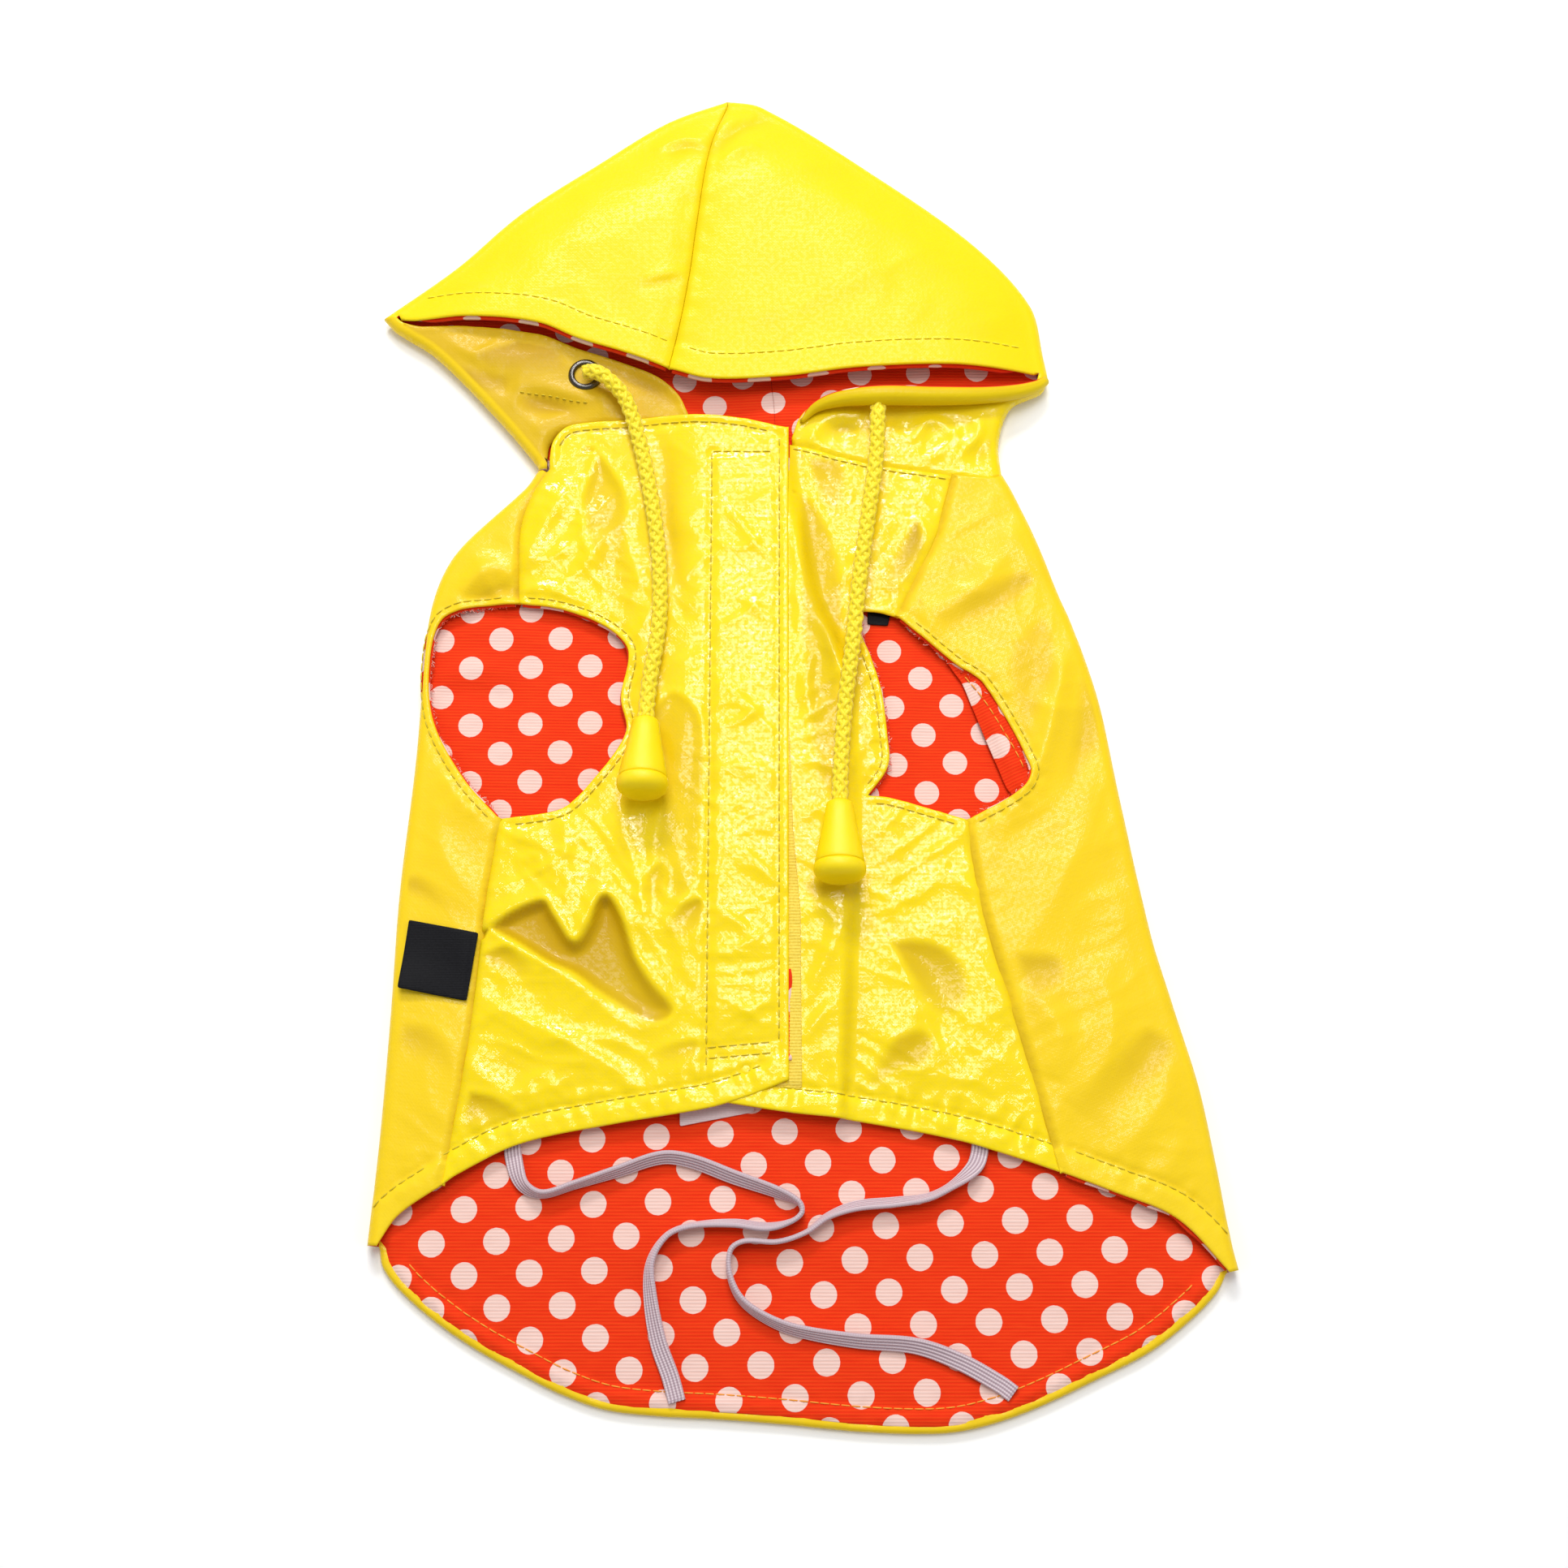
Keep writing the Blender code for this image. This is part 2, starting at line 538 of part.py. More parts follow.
def hood_ground(line, side):
    """Plan points of a hood half where it lies on the surface."""
    under = shifted(evenly(UNDER_SEAM, len(line) - 1), side * GAP / 2)
    shoulder = Vector(NECK[0] if side < 0 else NECK[-1]) + Vector((0.0, GAP))
    return fill_between(evenly((line[0], under[0]), HOOD_COLUMNS),
                        evenly((line[-1], shoulder, under[-1]), HOOD_COLUMNS), line, under)


def crown_height(from_fold, from_seam):
    """Height of the puffed crown, with a groove along the centre seam."""
    inside = smooth_step(from_fold / CROWN_PUFF_REACH)
    groove = SEAM_GROOVE * math.exp(-(from_seam / SEAM_GROOVE_WIDTH) ** 2)
    return TOP_LAYER + (CROWN_PUFF - groove) * inside


def cheek_height(from_fold, from_seam):
    """Height of the hood below its mouth; it sinks a little inside the roll."""
    return TOP_LAYER + (CHEEK - TOP_LAYER) * smooth_step(from_fold / WRAP_EASE)


def raised(grid, height):
    """Outer points of a hood part over its plan grid, whose rows run from the seam to the roll."""
    return [[point.to_3d() + Vector((0, 0, height((point - row[-1]).length, (point - row[0]).length)))
             for point in row] for row in grid]


def build_hood_half(name, crown_fold, cheek_fold, upper_lip, lower_lip, collar, side, finish):
    """One hood panel: crown, rolled edge, under layer, and the cheek below the open mouth."""
    edge, ways, line = hood_edge(crown_fold, cheek_fold, side)
    seam = shifted(evenly(CENTRE_SEAM, CROWN_ROWS), side * GAP / 2)
    crown_line, cheek_line = line[:CROWN_ROWS + 1], line[CROWN_ROWS + 1:]
    crown = fill_between(evenly((seam[0], line[0]), HOOD_COLUMNS),
                         evenly((seam[-1],) + upper_lip + (crown_line[-1],), HOOD_COLUMNS), seam, crown_line)
    corner = evenly((lower_lip[0], collar[0]), CHEEK_ROWS)
    cheek = fill_between(evenly(lower_lip + (cheek_line[0],), HOOD_COLUMNS),
                         evenly(collar + (cheek_line[-1],), HOOD_COLUMNS), corner, cheek_line)
    outer = raised(crown, crown_height) + raised(cheek, cheek_height)
    inner = [[point - Vector((0, 0, WALL)) for point in row] for row in outer]
    layers = [(outer, inner), roll(edge, ways, FOLD_RADIUS, WALL), ground(hood_ground(line, side), WALL)]
    mouth = [(CROWN_ROWS, i) for i in range(HOOD_COLUMNS)]
    return cloth(name, joined(layers), finish, mouth)


def build_hood_lining(name, crown_fold, cheek_fold, side, finish):
    """Half of the hood's lining, on the under layer's own points."""
    grid = hood_ground(hood_edge(crown_fold, cheek_fold, side)[2], side)
    return cloth(name, lift(grid[1:], lambda point: LINING_TOP, LINING_WALL), finish)


def cord(name, points, finish):
    """A drawstring end as a tube through its route."""
    length = sum((Vector(b) - Vector(a)).length for a, b in zip(points, points[1:]))
    route = evenly(points, round(length / CORD_STEP))
    curve = bpy.data.curves.new(name, "CURVE")
    curve.dimensions = "3D"
    curve.bevel_depth = CORD_RADIUS * MM
    curve.bevel_resolution = CORD_SIDES
    curve.render_resolution_u = 0
    curve.use_fill_caps = True
    spline = curve.splines.new("POLY")
    spline.points.add(len(route) - 1)
    for knot, point in zip(spline.points, route):
        knot.co = (*(point * MM), 1.0)
    curve.materials.append(finish)
    made = bpy.data.objects.new(name, curve)
    bpy.context.collection.objects.link(made)
    return made


def turned(name, start, end, profile, sides, finish):
    """A round piece turned about the line from start to end; profile rows are distance, radius."""
    axis = (Vector(end) - Vector(start)).normalized()
    across = axis.cross(Vector((0, 0, 1))).normalized()
    up = across.cross(axis)
    bm = bmesh.new()
    rings = []
    for distance, radius in profile:
        centre = Vector(start) + axis * distance
        ring = []
        for k in range(sides):
            turn = 2 * math.pi * k / sides
            ring.append(bm.verts.new(centre + (across * math.cos(turn) + up * math.sin(turn)) * radius))
        rings.append(ring)
    for near, far in zip(rings, rings[1:]):
        for k in range(sides):
            bm.faces.new((near[k], near[(k + 1) % sides], far[(k + 1) % sides], far[k]))
    bm.faces.new(rings[0])
    bm.faces.new(rings[-1])
    return add_object(name, bm, finish)


def eyelet(name, centre, base, finish):
    """A metal ring with a rounded face."""
    middle = (EYELET_RIM + EYELET_HOLE) / 2
    section = ((EYELET_HOLE, 0.0), (EYELET_RIM, 0.0), (EYELET_RIM - EYELET_ROUNDING, EYELET_SHOULDER),
               (middle, EYELET_HEIGHT), (EYELET_HOLE + EYELET_ROUNDING, EYELET_SHOULDER))
    bm = bmesh.new()
    rings = []
    for k in range(EYELET_SIDES):
        turn = 2 * math.pi * k / EYELET_SIDES
        rings.append([bm.verts.new((centre[0] + radius * math.cos(turn),
                                    centre[1] + radius * math.sin(turn), base + height))
                      for radius, height in section])
    for k in range(EYELET_SIDES):
        near, far = rings[k], rings[(k + 1) % EYELET_SIDES]
        for i in range(len(section)):
            after = (i + 1) % len(section)
            bm.faces.new((near[i], near[after], far[after], far[i]))
    return add_object(name, bm, finish)


def band(name, points, finish):
    """A flat elastic band laid along its route and turned about its own line."""
    length = sum((Vector(b[:2]) - Vector(a[:2])).length for a, b in zip(points, points[1:]))
    route = evenly(points, round(length / BAND_STEP))
    bm = bmesh.new()
    rings = []
    for i, point in enumerate(route):
        run = route[min(i + 1, len(route) - 1)] - route[max(i - 1, 0)]
        side = Vector((-run.y, run.x, 0.0)).normalized()
        turn = math.radians(point.z)
        wide = side * math.cos(turn) + Vector((0, 0, math.sin(turn)))
        thin = side * -math.sin(turn) + Vector((0, 0, math.cos(turn)))
        half_wide, half_thin = wide * BAND_WIDTH / 2, thin * BAND_WALL / 2
        centre = Vector((point.x, point.y, LINING_TOP + GAP + half_wide.z + abs(half_thin.z)))
        rings.append([bm.verts.new(centre + a * half_wide + b * half_thin)
                      for a, b in ((-1, -1), (1, -1), (1, 1), (-1, 1))])
    for near, far in zip(rings, rings[1:]):
        for k in range(4):
            bm.faces.new((near[k], near[(k + 1) % 4], far[(k + 1) % 4], far[k]))
    bm.faces.new(rings[0])
    bm.faces.new(rings[-1])
    return add_object(name, bm, finish)


clear_scene()

coated = material("film-coated cloth, yellow", (0.90, 0.63, 0.02), 0.25)
hood_cloth = material("film-coated cloth, hood", (0.98, 0.88, 0.03), 0.35)
dotted = material("woven lining, red", (0.90, 0.05, 0.01), 0.8)
cord_yarn = material("braided cord, yellow", (0.95, 0.75, 0.0), 0.7)
plastic = material("moulded plastic, yellow", (0.92, 0.62, 0.01), 0.4)
gunmetal = material("plated brass, dark", (0.20, 0.20, 0.22), 0.3, 1.0)
elastic = material("knitted elastic, mauve grey", (0.48, 0.36, 0.42), 0.8)
hook = material("hook tape, pale yellow", (0.80, 0.68, 0.15), 0.6)
satin = material("woven satin, black", (0.01, 0.01, 0.012), 0.5)
ribbon = material("woven ribbon, white", (0.85, 0.72, 0.72), 0.6)

back = build_back(coated)
build_back_lining(dotted)
front_left = build_front_left(coated)
front_right = build_front_right(coated)
build_hood_half("hood_left", CROWN_FOLD_LEFT, CHEEK_FOLD_LEFT, UPPER_LIP_LEFT, LOWER_LIP_LEFT,
                CHEEK_COLLAR_LEFT, -1, hood_cloth)
build_hood_half("hood_right", CROWN_FOLD_RIGHT, CHEEK_FOLD_RIGHT, UPPER_LIP_RIGHT, LOWER_LIP_RIGHT,
                CHEEK_COLLAR_RIGHT, 1, hood_cloth)
build_hood_lining("hood_lining_left", CROWN_FOLD_LEFT, CHEEK_FOLD_LEFT, -1, dotted)
build_hood_lining("hood_lining_right", CROWN_FOLD_RIGHT, CHEEK_FOLD_RIGHT, 1, dotted)

left_opening = cutter("left armhole cutter", round_outline(ARMHOLE_LEFT, ARMHOLE_POINTS), ribbon)
right_opening = cutter("right armhole cutter", ARMHOLE_RIGHT, ribbon)
for piece in (back, front_left):
    cut(piece, left_opening)
for piece in (back, front_right):
    cut(piece, right_opening)

for name, centre in (("eyelet_left", EYELET_LEFT), ("eyelet_right", EYELET_RIGHT)):
    eyelet(name, centre, CHEEK + GAP, gunmetal)
for side, route, ends in (("left", CORD_LEFT, STOPPER_LEFT), ("right", CORD_RIGHT, STOPPER_RIGHT)):
    cord("cord_" + side, route, cord_yarn)
    turned("stopper_" + side, *ends, BELL_PROFILE, STOPPER_SIDES, plastic)
    turned("stopper_cap_" + side, *ends, CAP_PROFILE, STOPPER_SIDES, plastic)
band("elastic_left", ELASTIC_LEFT, elastic)
band("elastic_right", ELASTIC_RIGHT, elastic)

flat_piece("side_tab", SIDE_TAB, TAB_BASE, TAB_BASE + TAB_WALL, satin)
flat_piece("care_label", CARE_LABEL, LINING_TOP + GAP, LINING_TOP + GAP + LABEL_WALL, ribbon)
flat_piece("inner_label", INNER_LABEL, LINING_TOP + GAP, LINING_TOP + GAP + LABEL_WALL, satin)
flat_piece("hook_tape", HOOK_TAPE, UNDERLAP + GAP, UNDERLAP + GAP + TAPE_WALL, hook)
flat_piece("armhole_facing", ARMHOLE_FACING, LINING_TOP + GAP, LINING_TOP + GAP + FACING_WALL, dotted)
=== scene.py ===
"""A small dog's raincoat, lying flat with its belly side up and its hood towards +Y.

Film-coated yellow cloth is wrapped over a dotted lining. The coat is put together here in the order
in which it is sewn: cords, lining, back panel, fronts, hood, trims, and then the studio round it.
Tables are in millimetres: X across the coat, Y from tail to hood, Z up from the surface.
"""
import math

import bpy
import numpy as np
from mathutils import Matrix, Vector, geometry, noise


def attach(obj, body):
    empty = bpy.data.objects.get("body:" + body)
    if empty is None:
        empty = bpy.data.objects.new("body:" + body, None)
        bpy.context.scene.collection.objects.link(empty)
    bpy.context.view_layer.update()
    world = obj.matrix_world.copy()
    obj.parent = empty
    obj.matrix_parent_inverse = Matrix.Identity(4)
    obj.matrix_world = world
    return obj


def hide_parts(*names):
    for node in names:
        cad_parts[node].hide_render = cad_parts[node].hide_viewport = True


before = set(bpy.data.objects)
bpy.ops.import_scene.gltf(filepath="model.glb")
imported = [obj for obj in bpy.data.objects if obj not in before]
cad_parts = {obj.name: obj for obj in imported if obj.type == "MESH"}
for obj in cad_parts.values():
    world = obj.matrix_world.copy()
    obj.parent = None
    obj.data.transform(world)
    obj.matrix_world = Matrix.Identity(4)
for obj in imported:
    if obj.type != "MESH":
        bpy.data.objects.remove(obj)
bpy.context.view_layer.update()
MM = 0.001

# ----------
# Camera. It looks down on the coat from the tail's side, 15 degrees off plumb, as on a copy stand.
CAMERA_TILT = math.radians(15.0)
CAMERA_DISTANCE = 629.0
CAMERA_AIM = (-0.6, -20.8, 0.0)
CAMERA_LENS = 49.2

camera = bpy.data.objects.new("camera", bpy.data.cameras.new("camera"))
bpy.context.scene.collection.objects.link(camera)
camera.data.lens = CAMERA_LENS
camera.rotation_euler = (CAMERA_TILT, 0.0, 0.0)
camera.location = (Vector(CAMERA_AIM)
                   + Vector((0.0, -math.sin(CAMERA_TILT), math.cos(CAMERA_TILT))) * CAMERA_DISTANCE) * MM
bpy.context.scene.camera = camera

# ----------
# Drawstring ends: round braided polyester cord, eight strands over a core, 4.7 mm thick. Each one
# leaves an eyelet in the hood, lies over a front and ends in a stopper.
CORD_LEFT = ((-61, 107.1, 8.9), (-58, 106, 10.9), (-54.5, 103.9, 11.4), (-48.7, 97.3, 10.3),
    (-44.3, 84, 9.3), (-40.9, 68.2, 9.3), (-37.9, 47.5, 9.5), (-37.4, 27.2, 9.6), (-39.9, 7.1, 10.4),
    (-40.7, -4.4, 12.2))
CORD_RIGHT = ((28, 98, 9), (27.9, 94.8, 9.7), (27.7, 90.5, 10.4), (27.2, 78.8, 10.2), (24.6, 60, 10.6),
    (21.4, 36, 10.4), (19.4, 17.1, 10.4), (17.2, 0, 9.9), (15.9, -17, 11), (15.4, -29.2, 12.6))
CORD_STEP = 0.6
CLOTH_STEP = 1.05  # spacing of the points of cloth and of the curves in it
CORE_RADIUS = 1.72
STRANDS_EACH_WAY = 4
STRAND_RADIUS = 0.78
STRAND_SIDES = 8
STRAND_ORBIT = 1.56  # of a strand's middle about the cord's own line
STRAND_WEAVE = 0.22  # how far a strand rises over and dives under the others
CORD_PITCH = 13.6  # one turn of a strand
STOPPER_LEFT = ((-40.7, -4.7, 12.2), (-41.2, -28.8, 15.9))
STOPPER_RIGHT = ((15.4, -29.5, 12.6), (15.2, -53.6, 15.5))
BELL_PROFILE = ((0, 0), (0, 3), (0.35, 3.55), (0.9, 3.9), (4, 4.45), (8, 5.1), (11, 5.7), (14, 6.35),
    (17, 6.9), (18.3, 7.1), (18.6, 6.95), (18.6, 0))
CAP_PROFILE = ((18.7, 0), (18.75, 7), (19.1, 7.3), (20, 7.5), (21, 7.45), (22.2, 7), (23.2, 5.9),
    (23.9, 4), (24.1, 2), (24.15, 0))
STOPPER_SIDES = 64


def curve_through(points, spacing=CLOTH_STEP):
    """Points a set distance apart along a smooth curve through the given ones, in plan or in space."""
    knots = np.array(points, float)
    spans = np.linalg.norm(np.diff(knots, axis=0), axis=1)
    runs = np.concatenate(([0.0], np.cumsum(spans)))
    slopes = np.empty_like(knots)
    slopes[0] = (knots[1] - knots[0]) / spans[0]
    slopes[-1] = (knots[-1] - knots[-2]) / spans[-1]
    slopes[1:-1] = (knots[2:] - knots[:-2]) / (runs[2:] - runs[:-2])[:, None]
    wanted = np.linspace(0.0, runs[-1], max(2, round(runs[-1] / spacing) + 1))
    near = np.clip(np.searchsorted(runs, wanted, side="right") - 1, 0, len(spans) - 1)
    length = spans[near][:, None]
    t = (wanted[:, None] - runs[near][:, None]) / length
    return (knots[near] * (2 * t**3 - 3 * t**2 + 1) + slopes[near] * length * (t**3 - 2 * t**2 + t)
            + knots[near + 1] * (3 * t**2 - 2 * t**3) + slopes[near + 1] * length * (t**3 - t**2))


def grid_triangles(rows, columns, ring=False):
    """Triangles of a grid of points, row by row; in a ring the last column meets the first."""
    across = columns if ring else columns - 1
    row, column = [part.ravel() for part in np.meshgrid(np.arange(rows - 1), np.arange(across),
                                                         indexing="ij")]
    after = (column + 1) % columns
    a, b = row * columns + column, row * columns + after
    c, d = (row + 1) * columns + after, (row + 1) * columns + column
    return np.concatenate((np.stack((a, b, c), 1), np.stack((a, c, d), 1)))


class Sewing:
    """Points and triangles of one piece, in millimetres, gathered before they become its mesh."""

    WELD = 0.0005             # points this close are one point

    def __init__(self):
        self.parts, self.total = [], 0

    def add(self, points, triangles, finish=0, weave=None, tint=0.5):
        """Add a part with its finish number, its place in the weave and its tint."""
        points, triangles = np.asarray(points, float).reshape(-1, 3), np.asarray(triangles, int)
        weave = points[:, :2] if weave is None else np.asarray(weave, float).reshape(-1, 2)
        self.parts.append((points, triangles + self.total, np.broadcast_to(finish, len(triangles)), weave,
                           np.broadcast_to(tint, len(points))))
        self.total += len(points)

    def make(self, name, finishes, slot, *nodes):
        """Weld the parts into one object that rides on the coat and stands for its CAD nodes."""
        points, triangles, finish, weave, tint = map(np.concatenate, zip(*self.parts))
        _, first, welded = np.unique(np.round(points / self.WELD).astype(np.int64), axis=0,
                                     return_index=True, return_inverse=True)
        welded = welded.ravel()
        corners = welded[triangles]
        whole = ((corners[:, 0] != corners[:, 1]) & (corners[:, 1] != corners[:, 2])
                 & (corners[:, 2] != corners[:, 0]))
        corners, old_corners, finish = corners[whole], triangles[whole], finish[whole]
        mesh = bpy.data.meshes.new(name)
        mesh.vertices.add(len(first))
        mesh.vertices.foreach_set("co", (points[first] * MM).ravel())
        mesh.loops.add(corners.size)
        mesh.loops.foreach_set("vertex_index", corners.ravel())
        mesh.polygons.add(len(corners))
        mesh.polygons.foreach_set("loop_start", np.arange(0, corners.size, 3))
        mesh.polygons.foreach_set("material_index", finish)
        mesh.update(calc_edges=True)
        mesh.uv_layers.new(name="weave")
        mesh.uv_layers["weave"].data.foreach_set("uv", weave[old_corners].ravel())
        mesh.attributes.new("tint", "FLOAT", "POINT").data.foreach_set("value", tint[first])
        mesh.validate()
        mesh.shade_smooth()
        for each in finishes:
            mesh.materials.append(each)
        made = bpy.data.objects.new(name, mesh)
        bpy.context.scene.collection.objects.link(made)
        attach(made, "root")
        if nodes:
            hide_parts(*nodes)
        return made


def square_to(route):
    """Directions along a route in space, level across it, and up from it."""
    along = np.gradient(route, axis=0)
    along /= np.linalg.norm(along, axis=1)[:, None]
    across = np.cross(along, (0.0, 0.0, 1.0))
    across /= np.linalg.norm(across, axis=1)[:, None]
    return along, across, np.cross(across, along)


def runs_of(route):
    """Distance of each point of a route from its start."""
    return np.concatenate(([0.0], np.cumsum(np.linalg.norm(np.diff(route, axis=0), axis=1))))


def add_tube(piece, route, radius, sides, finish=0):
    """A round tube along a route, closed at both ends; its weave runs round and along it."""
    _, across, up = square_to(route)
    turn = np.arange(sides) * 2 * math.pi / sides
    radius = np.broadcast_to(radius, len(route))
    rings = (route[:, None] + (across[:, None] * np.cos(turn)[None, :, None]
                               + up[:, None] * np.sin(turn)[None, :, None]) * radius[:, None, None])
    weave = np.stack(np.broadcast_arrays(turn[None] * radius.max(), runs_of(route)[:, None]), -1)
    piece.add(rings, grid_triangles(len(route), sides, ring=True), finish, weave)
    for end, order in ((0, -1), (-1, 1)):
        fan = [(0, k + 1, (k + 1) % sides + 1)[::order] for k in range(sides)]
        piece.add(np.vstack((route[end], rings[end])), fan, finish)


def srgb(code):
    """Linear colour from an sRGB hex value."""
    parts = [int(code[i:i + 2], 16) / 255 for i in (0, 2, 4)]
    return (*[v / 12.92 if v <= 0.04045 else ((v + 0.055) / 1.055) ** 2.4 for v in parts], 1.0)


def add_node(finish, kind, sockets=None, output=0, **settings):
    """Add a shader node with its settings; a socket gets a value or a link. It gives one output."""
    made = finish.node_tree.nodes.new("ShaderNode" + kind)
    for name, value in settings.items():
        setattr(made, name, value)
    for name, value in (sockets or {}).items():
        if isinstance(value, bpy.types.NodeSocket):
            finish.node_tree.links.new(value, made.inputs[name])
        else:
            made.inputs[name].default_value = value
    return made.outputs[output] if len(made.outputs) else None


def new_finish(name, shader_sockets, *values):
    """A material whose shader has the values and links that shader_sockets gives from its nodes."""
    finish = bpy.data.materials.new(name)
    finish.use_nodes = True
    finish.node_tree.nodes.clear()
    shader = add_node(finish, "BsdfPrincipled", shader_sockets(finish, *values))
    add_node(finish, "OutputMaterial", {"Surface": shader})
    return finish


def across_and_along(finish):
    """The two ways of the weave."""
    place = add_node(finish, "UVMap", uv_map="weave")
    return [add_node(finish, "SeparateXYZ", {0: place}, way) for way in "XY"]


def waves(finish, way, pitch):
    """Even ridges between -1 and 1, a pitch apart."""
    turns = add_node(finish, "Math", {0: way, 1: 2 * math.pi / pitch}, operation="MULTIPLY")
    return add_node(finish, "Math", {0: turns}, operation="SINE")


def yarn_sockets(finish):
    """Filament polyester: a soft gloss, with darker lines between its filaments."""
    across, along = across_and_along(finish)
    lines = waves(finish, add_node(finish, "Math", {0: along, 1: across}, operation="ADD"), 0.5)
    hue = add_node(finish, "Mix", {0: lines, 6: srgb("F8DC04"), 7: srgb("FFF218")}, 2, data_type="RGBA")
    return {"Base Color": hue, "Roughness": 0.45, "Sheen Weight": 0.3, "IOR": 1.55,
            "Normal": add_node(finish, "Bump", {"Height": lines, "Distance": 0.00002})}


def plastic_sockets(finish):
    """Injection-moulded plastic: an even colour, a faint orange peel and a soft gloss."""
    peel = add_node(finish, "TexNoise", {"Scale": 900.0, "Detail": 2.0})
    return {"Base Color": srgb("FFE205"), "Roughness": 0.32, "IOR": 1.5, "Subsurface Weight": 0.08,
            "Subsurface Radius": (0.004, 0.003, 0.0004), "Subsurface Scale": 0.5,
            "Normal": add_node(finish, "Bump", {"Height": peel, "Distance": 0.00003})}


braided_polyester = new_finish("braided polyester, yellow", yarn_sockets)
moulded_plastic = new_finish("moulded plastic, yellow", plastic_sockets)


def braided_cord(name, points):
    """A braided cord: strands wound both ways round a core, over and under each other."""
    route = curve_through(points, CORD_STEP)
    piece = Sewing()
    add_tube(piece, route, CORE_RADIUS, STRAND_SIDES)
    _, across, up = square_to(route)
    run = runs_of(route)
    for way in (-1, 1):
        for k in range(STRANDS_EACH_WAY):
            turn = way * (run / CORD_PITCH + k / STRANDS_EACH_WAY) * 2 * math.pi
            over = np.cos(STRANDS_EACH_WAY * 2 * math.pi * run / CORD_PITCH
                          + (0 if (k % 2) == (way > 0) else math.pi))
            orbit = (STRAND_ORBIT + STRAND_WEAVE * over)[:, None]
            line = route + (across * np.cos(turn)[:, None] + up * np.sin(turn)[:, None]) * orbit
            add_tube(piece, line, STRAND_RADIUS, STRAND_SIDES)
    return piece.make("braided_" + name, [braided_polyester], "cord_yarn", name), route


def turned_part(name, ends, profile):
    """A round moulded part, turned about the line between its ends."""
    start, end = np.array(ends[0]), np.array(ends[1])
    _, across, up = [way[0] for way in square_to(np.array((start, end)))]
    axis = (end - start) / np.linalg.norm(end - start)
    turn = np.arange(STOPPER_SIDES) * 2 * math.pi / STOPPER_SIDES
    ring = across * np.cos(turn)[:, None] + up * np.sin(turn)[:, None]
    piece = Sewing()
    rings = [start + axis * distance + ring * radius for distance, radius in profile]
    piece.add(np.array(rings), grid_triangles(len(profile), STOPPER_SIDES, ring=True))
    return piece.make("moulded_" + name, [moulded_plastic], "moulded_plastic", name)


for side, points, ends in (("left", CORD_LEFT, STOPPER_LEFT), ("right", CORD_RIGHT, STOPPER_RIGHT)):
    cord, route = braided_cord("cord_" + side, points)
    stopper = turned_part("stopper_" + side, ends, BELL_PROFILE)
    cap = turned_part("stopper_cap_" + side, ends, CAP_PROFILE)

# ----------
# Back lining: a printed polyester with a fine crosswise rib, cut to the back panel and sewn to it
# round the edge. It shows below the fronts and through both armholes.
WALL = 1.2  # coated cloth
LINING_WALL = 0.6
LINING_TOP = 2.5
LINING_STEP = 1.7
ROLL_RADIUS = 3.0  # of the cloth where it turns over a side edge
ARMHOLE_BITE = 2.3  # the left armhole comes this far into the roll
ARMHOLE_BITE_AT = 13.0
ARMHOLE_BITE_REACH = 16.0
FOLD_LEFT = ((-75, 77), (-79.2, 70.6), (-99.2, 49.5), (-105.7, 32.8), (-107.4, 6.2), (-108.5, -17.3),
    (-111.3, -54.7), (-112.2, -89.8), (-113.6, -123.9), (-115.6, -153.6))
FOLD_RIGHT = ((65.8, 74.9), (68.6, 69.5), (75, 54.5), (81.8, 35.6), (84.9, 27.7), (92.1, 3.8),
    (96.9, -24.6), (104.5, -66.5), (109.4, -85.2), (116.1, -110.3), (119.6, -130.6), (122.9, -152.6),
    (124.5, -160.2))
NECK = ((-40.0, 77.2), (-3.0, 77.5), (35.0, 76.4))
TAIL_HEM = ((-111.4, -159.4), (-106, -166), (-96, -174.2), (-85, -181.3), (-71.4, -188.4),
    (-61, -193.3), (-48.7, -197.3), (-33.2, -199), (-20, -199.6), (-1.9, -200.9), (20, -202.9),
    (38, -203.5), (48, -202.7), (58.7, -200.1), (70.1, -195.9), (84.2, -189.5), (99.5, -182),
    (111.2, -173.4), (118.6, -166.2))
TAIL_RIM = 2.4  # width of the coated cloth turned up round the tail
TAIL_RIM_TOP = 2.7
TAIL_RIM_END, TAIL_RIM_SLOPE = 0.4, 1.4  # how far past that width it ends, and over what width
TAIL_RIM_SWELL, TAIL_RIM_PITCH = 0.3, 11.0
LINING_TUCK = 1.0  # how far inside the edge the lining starts, at the corners
LINING_TUCK_MIDDLE = 1.0  # and how much farther in the middle of the tail
LINING_GAP = 0.35  # the least rise of its face over the cloth under it
LINING_SWELL, LINING_SWELL_PITCH = 0.25, 22.0
# Puckers near the tail's edge: height, pitch, reach
LINING_RUFFLE, LINING_RUFFLE_PITCH, LINING_RUFFLE_REACH = 0.3, 9.0, 12.0
# The lining bags a little outside its stitches: height, distance from the edge, width
LINING_PUFF, LINING_PUFF_AT, LINING_PUFF_WIDTH = 0.7, 4.0, 2.2
LINING_DIP, LINING_DIP_WIDTH = 0.9, 2.0  # its edge is pulled down
GROOVE_WIDTH = 1.3  # of the dip that a thread pulls into cloth
TAIL_STITCH = 6.6  # from the edge
# How stitches pull the cloth in: depth of their groove, height of its puckers, their pitch and reach
TAIL_SEWN = (0.45, 0.8, 3.2, 4.0)
DOT_RADIUS = 3.65
DOT_PITCH = 12.7  # of the square lattice, which is turned 45 degrees to the coat
DOT_TURN = math.radians(47.25)
